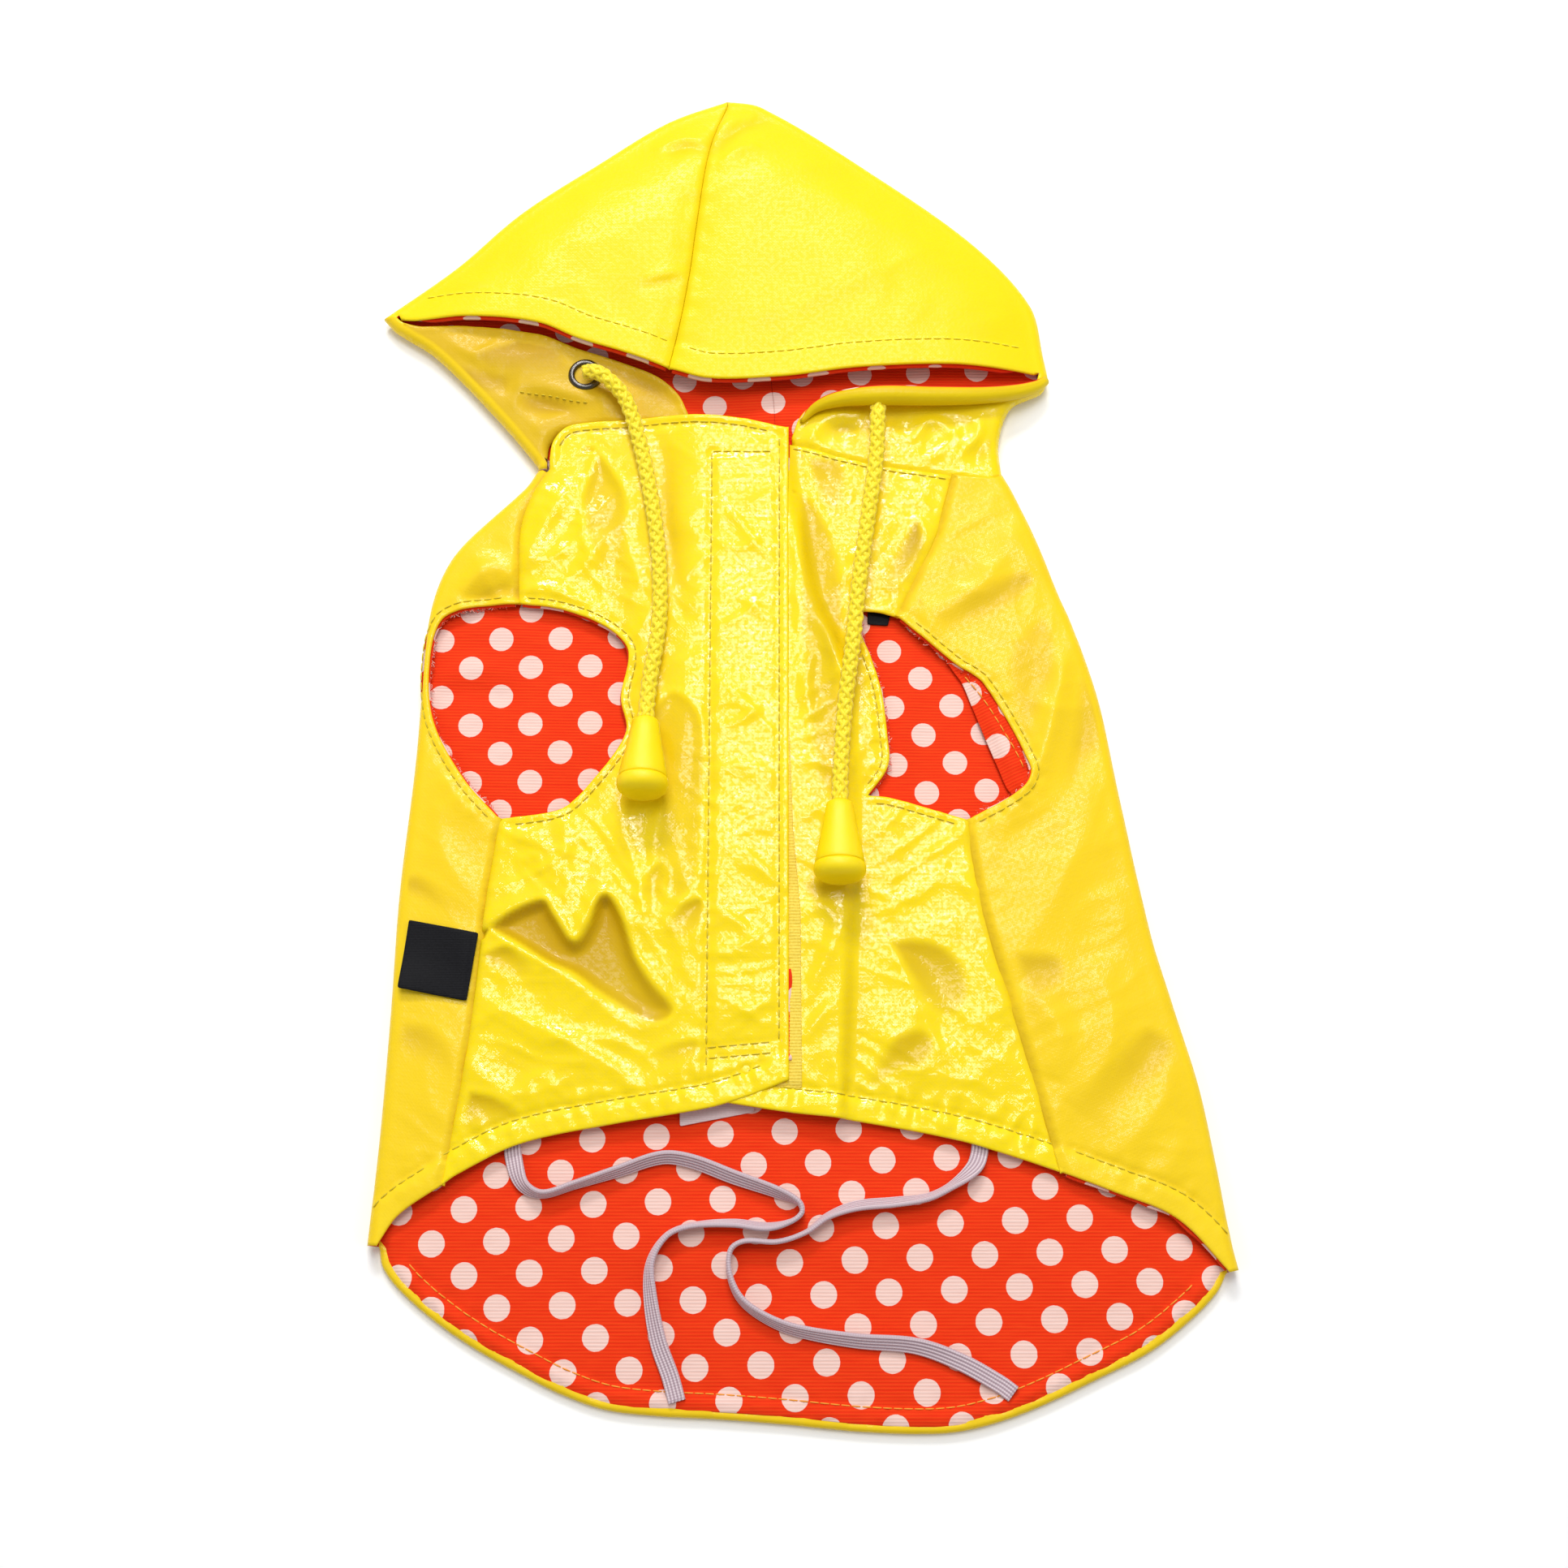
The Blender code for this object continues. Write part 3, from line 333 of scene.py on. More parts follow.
# Where the print lies at the tail, the left armhole and the right one: a dot, pitch and extra turn
DOT_PLACES = (((-5.0, 3.35), 12.7, 0.0), ((-4.55, -1.68), 12.45, math.radians(1.0)),
              ((-3.4, 0.4), 12.4, 0.0))
RIB_PITCH = 0.95  # drawn about twice as coarse as the real rib, so that it shows
# Creases of the lining: height, reach on the left of the route, on its right, crest, route
LINING_CREASES = (
    (-0.7, 1.8, 5, 0.6, ((-104, 6), (-94, 7.2), (-84, 6), (-77, 9))),
    (0.8, 4, 3, 0.8, ((-104, 10), (-92, 14), (-80, 12))),
    (0.5, 4, 4, 1, ((-100, 24), (-88, 27), (-72, 22))),
    (0.6, 5, 5, 1, ((34, 20), (36, 2), (33, -20))),
    (-0.5, 3, 5, 1, ((56, 2), (62, -10), (66, -20))),
    (0.6, 8, 8, 2, ((-70, -150), (-30, -158), (20, -152), (70, -146))),
    (0.5, 6, 9, 2, ((-40, -180), (-10, -176), (30, -186))),
    (0.5, 7, 6, 2, ((64, -150), (80, -168), (96, -160))),
)


def inwards(line, distance, turn):
    """A plan line moved square to itself: to its left with turn 1, to its right with turn -1.

    Where the moved line would cross itself, inside a sharp bend, its points gather on the crossing.
    """
    along = np.gradient(line, axis=0)
    along /= np.linalg.norm(along, axis=1)[:, None]
    distance = np.broadcast_to(distance, len(line))
    moved = line + np.stack((-along[:, 1], along[:, 0]), 1) * turn * distance[:, None]
    crossed = np.flatnonzero(np.abs(beside(moved, line)[0]) < 0.97 * np.abs(distance) - 0.02)
    for bend in np.split(crossed, np.flatnonzero(np.diff(crossed) > 1) + 1):
        if len(bend) and bend[0] > 0 and bend[-1] < len(line) - 1:
            moved[bend[0] - 1:bend[-1] + 2] = (moved[bend[0] - 1] + moved[bend[-1] + 1]) / 2
    return moved


def beside(points, route):
    """Signed distance of plan points from a route (positive on its left) and the run along it."""
    start, step = route[:-1], np.diff(route, axis=0)
    length = np.linalg.norm(step, axis=1)
    apart = length > 0.01
    start, step, length = start[apart], step[apart], length[apart]
    run_to = np.concatenate(([0.0], np.cumsum(length)))
    offset = points[:, None, :] - start[None]
    share = np.clip((offset * step[None]).sum(2) / (length**2)[None], 0.0, 1.0)
    away = offset - share[..., None] * step[None]
    squares = (away**2).sum(2)
    nearest = squares.argmin(1)
    pick = np.arange(len(points))
    off = offset[pick, nearest]
    side = np.sign(step[nearest, 0] * off[:, 1] - step[nearest, 1] * off[:, 0])
    return np.sqrt(squares[pick, nearest]) * side, run_to[nearest] + share[pick, nearest] * length[nearest]


def nearby(points, route, reach):
    """Which points are in the box round a route, with a margin."""
    low, high = route.min(0) - reach, route.max(0) + reach
    return ((points >= low) & (points <= high)).all(1)


def ease(value):
    """A smooth step from 0 to 1."""
    value = np.clip(value, 0.0, 1.0)
    return value * value * (3.0 - 2.0 * value)


def creases(points, table):
    """Height that a table of creases adds: a rounded crest that falls away on each side."""
    rise = np.zeros(len(points))
    for height, left, right, crest, route in table:
        line = curve_through(route, 1.5)
        close = nearby(points, line, 4 * max(left, right))
        if not close.any():
            continue
        across, run = beside(points[close], line)
        reach = np.where(across > 0, left, right)
        fall = np.sqrt(across**2 + crest**2) - crest
        taper = np.sin(math.pi * np.clip(run / runs_of(line)[-1], 0.0, 1.0)) ** 0.7
        rise[close] += height * taper * np.exp(-fall / reach * (1.0 + 0.5 * fall / reach))
    return rise


def noisy(places, seed):
    """Smooth noise between -1 and 1 at two-number places."""
    return np.array([noise.noise((x, y, seed)) for x, y in places.tolist()])


def turned(points, turn):
    """Plan points turned clockwise."""
    cos, sin = math.cos(turn), math.sin(turn)
    return points @ np.array(((cos, -sin), (sin, cos)))


def noisy_along(run, pitch, place, seed):
    """Smooth noise between -1 and 1 along a run."""
    return noisy(np.column_stack((run / pitch, np.full(len(run), place))), seed)


def crinkles(points, pitch, turn, stretch, height, seed):
    """Fine uneven creases of a stiff coated cloth, drawn out along one direction, in patches."""
    places = turned(points, turn) / (pitch * stretch, pitch)
    drift = np.stack((noisy(places * 0.5, seed + 7.3), noisy(places * 0.5, seed + 11.9)), 1)
    ridge = np.clip(1.0 - 2.6 * np.abs(noisy(places + drift * 0.9, seed)), 0.0, 1.0) ** 1.5
    patch = ease(noisy(places * 0.33, seed + 3.1) * 1.4 + 0.55)
    return height * ridge * patch


def sewn(points, route, groove, pucker, pitch, reach, seed):
    """Height along a stitched line: a groove that the thread pulls in, and puckers beside it."""
    rise = np.zeros(len(points))
    close = nearby(points, route, 3 * reach)
    if close.any():
        across, run = beside(points[close], route)
        wave = noisy(np.stack((run / pitch, across * 0.12), 1), seed)
        rise[close] = (pucker * wave * np.exp(-(across / reach) ** 2)
                       - groove * np.exp(-(across / GROOVE_WIDTH) ** 2))
    return rise


def filled(outline, spacing):
    """Plan points and triangles that fill a closed outline, on a lattice of even triangles."""
    low, high = outline.min(0), outline.max(0)
    row_height = spacing * math.sqrt(0.75)
    rows = int((high[1] - low[1]) / row_height) + 1
    columns = int((high[0] - low[0]) / spacing) + 2
    row, column = np.meshgrid(np.arange(rows), np.arange(columns), indexing="ij")
    lattice = np.stack((low[0] + (column + 0.5 * (row % 2)) * spacing, low[1] + row * row_height),
                       -1).reshape(-1, 2)
    start, end = outline, np.roll(outline, -1, axis=0)
    inside = np.zeros(len(lattice), bool)
    for (ax, ay), (bx, by) in zip(start, end):
        crosses = (ay > lattice[:, 1]) != (by > lattice[:, 1])
        if crosses.any():
            inside ^= crosses & (lattice[:, 0] < (bx - ax) * (lattice[:, 1] - ay) / (by - ay + 1e-12) + ax)
    lattice = lattice[inside]
    closed = np.vstack((outline, outline[:1]))
    clear = np.concatenate([np.abs(beside(part, closed)[0]) > 0.6 * spacing
                            for part in np.array_split(lattice, 1 + len(lattice) // 4000)])
    points = np.vstack((outline, lattice[clear]))
    found = geometry.delaunay_2d_cdt([Vector(point) for point in points], [],
                                     [list(range(len(outline)))], 1, 1e-5)
    old = np.array([origins[0] if origins else -1 for origins in found[3]])
    triangles = old[np.array(found[2])]
    return points, triangles[(triangles >= 0).all(1)]


def outline_of(*runs):
    """One closed outline from runs laid end to end, with the number of each point's run."""
    points, numbers = [], []
    for number, run in enumerate(runs):
        for point in np.asarray(run, float):
            if not points or np.linalg.norm(point - points[-1]) > 0.25:
                points.append(point)
                numbers.append(number)
    while np.linalg.norm(points[0] - points[-1]) < 0.25:
        points.pop()
        numbers.pop()
    return np.array(points), np.array(numbers)


def outward_of(outline):
    """Plan directions out of a closed outline at each of its points."""
    after, before = np.roll(outline, -1, axis=0), np.roll(outline, 1, axis=0)
    ahead, behind = after - outline, outline - before
    ahead /= np.linalg.norm(ahead, axis=1)[:, None]
    behind /= np.linalg.norm(behind, axis=1)[:, None]
    mean = ahead + behind
    mean /= np.linalg.norm(mean, axis=1)[:, None] + 1e-9
    area = (outline[:, 0] * after[:, 1] - after[:, 0] * outline[:, 1]).sum()
    return np.stack((mean[:, 1], -mean[:, 0]), 1) * math.copysign(1.0, area), area > 0


RIM_STEPS = 4
SHARP_BEND = 0.9  # radians: a corner where the rounded edge narrows to nothing


def add_cloth(piece, outline, form, spacing=CLOTH_STEP, open_at=None, rim=0.6, weave=None,
              face=0, under=1, rim_finish=0):
    """A thin closed shell of cloth: its face, its underside and a rounded edge between them.

    form gives the height, thickness and tint at plan points; open_at marks the outline's points
    where the cloth goes on in another part, so that no edge is made there.
    """
    outward, leftwards = outward_of(outline)
    pulled = np.zeros(len(outline), bool) if open_at is None else open_at
    rim = np.where(pulled, 0.0, rim)
    step = np.diff(np.vstack((outline[-1:], outline, outline[:1])), axis=0)
    step /= np.linalg.norm(step, axis=1)[:, None]
    bend = np.arccos(np.clip((step[:-1] * step[1:]).sum(1), -1.0, 1.0))
    for corner in np.flatnonzero(bend > SHARP_BEND):
        room = np.linalg.norm(outline - outline[corner], axis=1) * math.tan((math.pi - bend[corner]) / 2)
        rim = np.minimum(rim, 0.6 * room)
    rim = rim[:, None]
    inner = outline - outward * rim
    points, triangles = filled(inner, spacing)
    height, wall, tint = form(points)
    wall, tint = np.broadcast_to(wall, len(points)), np.broadcast_to(tint, len(points))
    place = points if weave is None else weave(points)
    piece.add(np.column_stack((points, height)), triangles, face, place, tint)
    piece.add(np.column_stack((points, height - wall)), triangles[:, ::-1], under, place, tint)
    count = len(outline)
    half = wall[:count] / 2
    rings = []
    for step in range(RIM_STEPS + 1):
        turn = math.pi * step / RIM_STEPS
        rings.append(np.column_stack((inner + outward * rim * math.sin(turn),
                                      height[:count] - half + half * math.cos(turn))))
    faces = grid_triangles(RIM_STEPS + 1, 2)[:, ::-1 if leftwards else 1]
    for k in range(count):
        after = (k + 1) % count
        if pulled[k] and pulled[after]:
            continue
        strip = np.array([[ring[k], ring[after]] for ring in rings])
        piece.add(strip, faces, rim_finish, np.tile(place[[k, after]], (len(rings), 1)),
                  np.tile(tint[[k, after]], len(rings)))


def dotted_sockets(finish):
    """Printed polyester: matt, a fine crosswise rib, pale dots with a slightly ragged edge."""
    place = add_node(finish, "UVMap", uv_map="weave")
    lattice = add_node(finish, "Mapping", {0: place, "Rotation": (0.0, 0.0, -DOT_TURN),
                                           "Scale": (1 / DOT_PITCH,) * 3})
    cell = add_node(finish, "VectorMath", {0: lattice}, operation="FRACTION")
    away = add_node(finish, "VectorMath", {0: cell, 1: (0.5, 0.5, 0.0)}, "Value", operation="DISTANCE")
    ragged = add_node(finish, "TexNoise", {"Vector": place, "Scale": 1.1, "Detail": 2.0})
    edge = add_node(finish, "Math", {0: ragged, 1: 0.02, 2: away}, operation="MULTIPLY_ADD")
    reach = DOT_RADIUS / DOT_PITCH
    dot = add_node(finish, "MapRange", {0: edge, 1: reach + 0.006, 2: reach + 0.016, 3: 1.0, 4: 0.0})
    drawn_out = add_node(finish, "Mapping", {0: place, "Scale": (0.12, 1.3, 1.0)})
    slub = add_node(finish, "TexNoise", {"Vector": drawn_out, "Scale": 1.0, "Detail": 3.0})
    rib = waves(finish, across_and_along(finish)[1], RIB_PITCH)
    thread = add_node(finish, "Math", {0: rib, 1: 0.35, 2: slub}, operation="MULTIPLY_ADD")
    red, pale = [add_node(finish, "Mix", {0: thread, 6: srgb(low), 7: srgb(high)}, 2, data_type="RGBA")
                 for low, high in (("E62A06", "F04210"), ("EAC0B4", "F4D4CA"))]
    return {"Base Color": add_node(finish, "Mix", {0: dot, 6: red, 7: pale}, 2, data_type="RGBA"),
            "Roughness": 0.8, "Sheen Weight": 0.05, "IOR": 1.5, "Specular IOR Level": 0.15,
            "Normal": add_node(finish, "Bump", {"Height": thread, "Distance": 0.00008})}


printed_polyester = new_finish("printed polyester, dotted", dotted_sockets)


def lining_weave(points):
    """Place of the lining's points on the printed cloth: it is pulled a little askew at each armhole."""
    tail, left, right = [turned(points - origin, -turn) * (DOT_PITCH / pitch)
                         for origin, pitch, turn in DOT_PLACES]
    up = ease((points[:, 1] + 75.0) / 20.0)[:, None]
    over = ease((points[:, 0] + 30.0) / 20.0)[:, None]
    return (tail * (1 - up) + (left * (1 - over) + right * over) * up
            + (0.0, DOT_PITCH / math.sqrt(2)))


left_edge, right_edge = curve_through(FOLD_LEFT), curve_through(FOLD_RIGHT)
left_depth = ROLL_RADIUS - ARMHOLE_BITE * np.exp(-((left_edge[:, 1] - ARMHOLE_BITE_AT)
                                                   / ARMHOLE_BITE_REACH) ** 2)
left_line = inwards(left_edge, left_depth, 1)
right_line = inwards(right_edge, ROLL_RADIUS, -1)
tail_edge = curve_through((left_line[-1],) + TAIL_HEM + (right_line[-1],))
neck_edge = curve_through((right_line[0],) + NECK[::-1] + (left_line[0],))
tail_stitches = inwards(tail_edge, TAIL_STITCH, 1)


def lining_form(points):
    """The lining: it bags a little inside the tail's stitches and is tucked in along the tail's edge."""
    from_tail = np.abs(beside(points, tail_edge[::2])[0])
    height = LINING_TOP + creases(points, LINING_CREASES)
    height += (LINING_SWELL * noisy(points / LINING_SWELL_PITCH, 4.1) + LINING_RUFFLE * noisy(
        points / LINING_RUFFLE_PITCH, 9.4) * ease(1 - from_tail / LINING_RUFFLE_REACH))
    height += sewn(points, tail_stitches[::3], *TAIL_SEWN, 2.2)
    height += LINING_PUFF * np.exp(-((from_tail - LINING_PUFF_AT) / LINING_PUFF_WIDTH) ** 2)
    height -= LINING_DIP * ease(1 - (from_tail - LINING_TUCK) / LINING_DIP_WIDTH)
    return np.maximum(height, WALL + LINING_GAP), LINING_WALL, 0.5


lining_piece = Sewing()
tail_share = np.linspace(0.0, math.pi, len(tail_edge))
lining_tail = inwards(tail_edge, LINING_TUCK + LINING_TUCK_MIDDLE * np.sin(tail_share) ** 2, 1)
lining_outline, _ = outline_of(left_line[::2], lining_tail[3:-3:2], right_line[::-2], neck_edge[::2])
add_cloth(lining_piece, lining_outline, lining_form, LINING_STEP, rim=0.3, weave=lining_weave, under=0)
back_lining = lining_piece.make("lining_of_back", [printed_polyester], "dotted_lining", "back_lining")

# ----------
# Back panel: woven polyester with a glossy film on its face. One panel lies under everything, turns
# over both side edges and comes up to the shoulder and side seams. Its tail edge is turned up.
TOP_LAYER = 6.0
# The lines along which each wrap ends, on the left (-1) and on the right (1)
WRAPS = {
    -1: {
        "shoulder": ((-71.6, 76.4), (-76.4, 68.4), (-79.6, 58), (-79.9, 45), (-79.5, 33.1)),
        "armhole": ((-83, -32.8), (-94, -20.4), (-103.4, -3), (-105.2, 14.4), (-102.2, 28), (-93.3, 32),
            (-79.5, 33.1)),
        "side_seam": ((-83, -32.8), (-85.9, -55.1), (-89.6, -97), (-95.4, -137.5)),
        "hem": ((-95.4, -137.5), (-107, -145.6)),
    },
    1: {
        "shoulder": ((51, 74.4), (45.2, 54.9), (33.2, 29)),
        "armhole": ((52.7, -32.9), (68.7, -23.6), (71, -17.3), (58.2, 8.1), (50, 14.4), (33.2, 29)),
        "side_seam": ((52.7, -32.9), (57, -59.8), (69.5, -106.1), (76.8, -134)),
        "hem": ((76.8, -134), (90, -139), (107.6, -146.4)),
    },
}
SEAM_TUCK = 0.9  # how far a wrap goes on under the front's edge
HEM_BAND = 6.8  # from an edge to its hem stitches
ARMHOLE_BAND = 2.2
HEM_SEWN = (0.5, 0.5, 3.5, 4.0)
ARMHOLE_SEWN = (0.4, 0.35, 2.6, 3.0)
HEM_FULLNESS = 0.55  # the turned hem is thicker by this
ARMHOLE_FULLNESS = 0.15
HEM_TINT = 0.62
ARMHOLE_SHARE = 0.3  # of that brightness, at an armhole's edge
WRAP_SETTLING = (0.45, 7.0)  # share of the folds' height beside the roll, and how far on they are full
# Seam between a wrap and its front: width, groove depth, and painted shade that darkens the tint in the
# groove
WRAP_SEAM_WIDTH, WRAP_SEAM_DEPTH, WRAP_SEAM_PAINTED_SHADE = 0.9, 0.9, 1.2
# Painted shade: tint taken off per millimetre of a trough's depth, and per unit of the seams' and the
# cheek's painted darkening
PAINTED_SHADE_PER_DEPTH = 0.22  # taken off per millimetre of a hollow's depth
HOLLOW_BANK = 3.0  # width of the slope into a crisp hollow
HOLLOW_EDGE = 1.4  # and of the change of shade at its brim
HOLLOW_SOFTENING = 2.5  # how much wider both are where a hollow has faded out
HOLLOW_BRIM, HOLLOW_BRIM_AT, HOLLOW_BRIM_WIDTH = 0.25, -0.7, 0.8  # its height, place and width
HOLLOW_LEAD = 0.2  # the shade starts this share of its change outside the brim
GROUND_STEP = 3.5
WRAP_SOFTNESS = 2.4  # the wraps' hollows have wider banks, and so have the right front's
# Hollows: depth, painted shade, fading, outline
WRAP_HOLLOWS = (
    (0.3, 0.16, 0.3, ((66.5, 20), (76.9, 28.5), (80, 15.6), (75.5, -1.2), (69.7, -7.4), (65.1, 7.2))),
    (0.5, 0.3, 0.8, ((-111, -50.2), (-105.7, -49.4), (-97.1, -54.9), (-89.3, -61), (-88, -64.9),
        (-96.8, -62.6), (-104.5, -58), (-110, -54.1))),
    (0.4, 0.22, 0.8, ((-108, -92), (-99.8, -93.8), (-91.4, -102.8), (-92, -110), (-103, -104.6),
        (-109.6, -98.3))),
    (0.5, 0.26, 0.8, ((64.9, -72.1), (77.5, -73), (79.2, -79.9), (72.2, -87.7), (71, -94.4),
        (68.3, -89.6))),
    (0.5, 0.2, 0.8, ((76.1, -114.5), (89.8, -105), (101.8, -93.5), (109.2, -99.3), (101, -112.6),
        (85.3, -124))),
    (0.5, 0.3, 0.8, ((41.5, 30.5), (54.8, 36.9), (71.2, 43.4), (74.1, 39.1), (60.6, 26.2), (48.4, 22))),
)
# Height, reach on the left of the route, reach on its right, crest, route
WRAP_CREASES = (
    (2, 4.5, 5.5, 0.8, ((-98, 31), (-95, 38), (-88, 44), (-80, 42))),
    (-1.6, 2.5, 3, 0.8, ((-99, 36), (-91, 35.5), (-84, 38), (-79, 35.5))),
    (1.1, 5, 5, 0.8, ((-99.4, -19), (-94.5, -27), (-86.2, -33.6), (-82, -37))),
    (1, 5, 8, 1, ((-103, -28), (-98, -44), (-89, -56), (-85, -60))),
    (2.2, 5.5, 4.5, 0.7, ((88, 30), (84, 19.6), (79.6, 4), (74.4, -14.2), (66, -29), (58, -37))),
    (1.6, 4, 5, 0.7, ((81, 44), (75, 46), (70.5, 53), (69, 62))),
    (1.3, 5, 5, 1, ((69, 58), (62, 44), (49, 32), (39, 29))),
    (-1, 5, 7, 1.5, ((86, 20), (88, -6), (80, -30))),
    (1.2, 8, 9, 1.5, ((90, -12), (82, -44), (66, -72), (60, -76))),
    (1.5, 6, 7, 1, ((66, -82), (73, -88), (77.5, -96), (74, -108))),
    (1.4, 6, 6, 1.2, ((86, -74), (92, -88), (90, -102), (80, -116))),
    (1.3, 7, 6, 1.5, ((112, -100), (106, -112), (97, -124), (88, -132))),
    (0.9, 6, 7, 1.5, ((114, -122), (106, -132), (98, -138))),
)


def hollows(points, table, softness=1.0):
    """Depth and painted shade of hollows: a darker tint painted into each; each fades out by its own share
    to its lower end.
    """
    sunk, shade = np.zeros(len(points)), np.zeros(len(points))
    for depth, dark, fade, outline in table:
        line = curve_through(outline + outline[:1])
        close = nearby(points, line, 2.0)
        if close.any():
            turn = math.copysign(1.0, (line[:-1, 0] * line[1:, 1] - line[1:, 0] * line[:-1, 1]).sum())
            into = beside(points[close], line)[0] * turn
            low = fade * (1.0 - ease((points[close, 1] - line[:, 1].min()) / np.ptp(line[:, 1])))
            soft = softness * (1.0 + HOLLOW_SOFTENING * low)
            brim = np.exp(-((into - HOLLOW_BRIM_AT) / HOLLOW_BRIM_WIDTH) ** 2)
            sunk[close] += (depth * (1.0 - low) * ease(into / HOLLOW_BANK / soft)
                            - HOLLOW_BRIM * (1.0 - low) / softness * brim)
            shade[close] = np.maximum(shade[close], dark * (1.0 - low)
                                      * ease(into / HOLLOW_EDGE / soft + HOLLOW_LEAD))
    return sunk, shade


def film_sockets(finish, hollow, plain, bright, grain_depth, crackle_depth, gloss, rough):
    """What film-coated cloth needs: its colours, the weave under the film and the film's own gloss.

    The colour runs from hollow through plain to bright with the tint attribute: its low end is painted
    shade in troughs, hollows and seams, and its high end is the doubled cloth of hems. Where that painted
    shade lies the coat is thinned as well, a painted loss of its reflection. The weave's high threads
    carry the film and shine, and the pits between them stay dull, so the gloss breaks up into grains;
    finer creases of the film add thin bright lines.
    """
    place = add_node(finish, "UVMap", uv_map="weave")
    warp, weft = [waves(finish, way, THREAD_PITCH) for way in across_and_along(finish)]
    weave = add_node(finish, "Math", {0: warp, 1: weft}, operation="MULTIPLY")
    twill = add_node(finish, "Math", {0: weft, 1: 0.5, 2: weave}, operation="MULTIPLY_ADD")
    pits = add_node(finish, "TexNoise", {"Vector": place, "Scale": 0.8, "Detail": 2.0})
    grains = add_node(finish, "Math", {0: twill, 1: 0.07, 2: pits}, operation="MULTIPLY_ADD")
    shine = add_node(finish, "MapRange", {0: grains, 1: 0.42, 2: 0.6, 3: 0.1 * gloss, 4: gloss})
    grain = add_node(finish, "Bump", {"Height": grains, "Distance": grain_depth})
    crackle = add_node(finish, "TexNoise", {"Vector": place, "Scale": 0.3, "Detail": 3.0,
                                            "Roughness": 0.45, "Distortion": 0.7})
    film = add_node(finish, "Bump", {"Height": crackle, "Distance": crackle_depth, "Normal": grain})
    tint = add_node(finish, "Attribute", output="Fac", attribute_name="tint")
    # The coat follows the painted shade: where the tint is low it is thinned, so the shaded hollows lose
    # their gloss
    gloss_outside_painted_shade = add_node(finish, "MapRange", {0: tint, 1: 0.1, 2: 0.45, 3: 0.3, 4: 1.0})
    cloudy = add_node(finish, "TexNoise", {"Vector": place, "Scale": 0.07, "Detail": 2.0})
    level = add_node(finish, "Math", {0: cloudy, 1: 0.16, 2: tint}, operation="MULTIPLY_ADD")
    # hollow is the colour of the painted shade, at the tint's low end
    hue = srgb(hollow)
    for low, high, tone in ((0.08, 0.58, plain), (0.58, 1.08, bright)):
        share = add_node(finish, "MapRange", {0: level, 1: low, 2: high, 3: 0.0, 4: 1.0})
        hue = add_node(finish, "Mix", {0: share, 6: hue, 7: srgb(tone)}, 2, data_type="RGBA")
    coat = add_node(finish, "Math", {0: shine, 1: gloss_outside_painted_shade}, operation="MULTIPLY")
    return {"Base Color": hue, "Roughness": 0.45, "IOR": 1.5, "Specular IOR Level": 0.15,
            "Coat Weight": coat, "Coat Roughness": rough, "Coat IOR": 1.55, "Normal": grain,
            "Coat Normal": film}


THREAD_PITCH = 1.0  # drawn coarser than the real 0.4 mm weave, so that it shows in the gloss
coated_polyester = new_finish("film-coated polyester, body", film_sockets,
                              "C49C0A", "F7D90A", "FCE816", 0.00004, 0.00012, 0.9, 0.06)
# Also put on the left cheek, where its duller gloss and darker colours are painted shade
smooth_and_shaded_polyester = new_finish("film-coated polyester, stretched smooth", film_sockets,
                              "C49C18", "F5D01C", "FBE02A", 0.00006, 0.00005, 0.35, 0.16)


def bright_near(points, route, width):
    """1 within a hem's width of its edge, 0 past its stitches."""
    return ease((width - np.abs(beside(points, route)[0])) / 0.8 + 0.5)


def tint_of(sunk, hem, shade=0.0):
    """Tint of coated cloth: painted shade darkens it in creases, hollows and seams; it is brighter where a
    hem doubles it.
    """
    plain = np.clip(0.5 - shade - PAINTED_SHADE_PER_DEPTH * np.clip(-sunk, 0.0, 3.0), 0.0, 1.0)
    return plain * (1 - hem) + HEM_TINT * hem


def add_roll(piece, line, edge, top, turn, free=None, finish=0, inner_finish=1):
    """Cloth turned over a side edge: from the line, at each row's top height, round to the ground.

    free gives the first and last row between which no cloth goes on from the top of the roll; finish
    may differ from row to row.
    """
    top = np.broadcast_to(top, len(line))[:, None]
    angles = np.linspace(0.0, math.pi, ROLL_STEPS + 1)
    reach = edge - line
    inner_share = 1.0 - WALL / ROLL_RADIUS
    faces = []
    for share, half, shade in ((1.0, top / 2, finish), (inner_share, top / 2 - WALL, inner_finish)):
        plan = line[:, None] + reach[:, None] * share * np.sin(angles)[None, :, None]
        height = top / 2 + half * np.cos(angles)
        face = np.concatenate((plan, height[..., None]), 2)
        faces.append(face)
        triangles = grid_triangles(*plan.shape[:2])
        shades = np.tile(np.repeat(np.broadcast_to(shade, len(line) - 1), ROLL_STEPS), 2)
        piece.add(face, triangles if (share == 1.0) == (turn < 0) else triangles[:, ::-1], shades,
                  plan.reshape(-1, 2))
    through = (1 - np.cos(np.linspace(0.0, math.pi, RIM_STEPS + 1))) / 2
    strips = [(faces[0][0], faces[1][0], turn < 0), (faces[0][-1], faces[1][-1], turn > 0)]
    if free is not None:
        rows = slice(free[0], free[1] + 1)
        strips.append((faces[0][rows, 0], faces[1][rows, 0], turn > 0))
    for outer, inner, forwards in strips:
        strip = outer[:, None] + (inner - outer)[:, None] * through[None, :, None]
        triangles = grid_triangles(*strip.shape[:2])
        piece.add(strip, triangles if forwards else triangles[:, ::-1], inner_finish)


ROLL_STEPS = 10
WEAVE_TURN = {-1: math.radians(-8.0), 1: math.radians(26.0)}  # a wrap's grain, turned by the roll


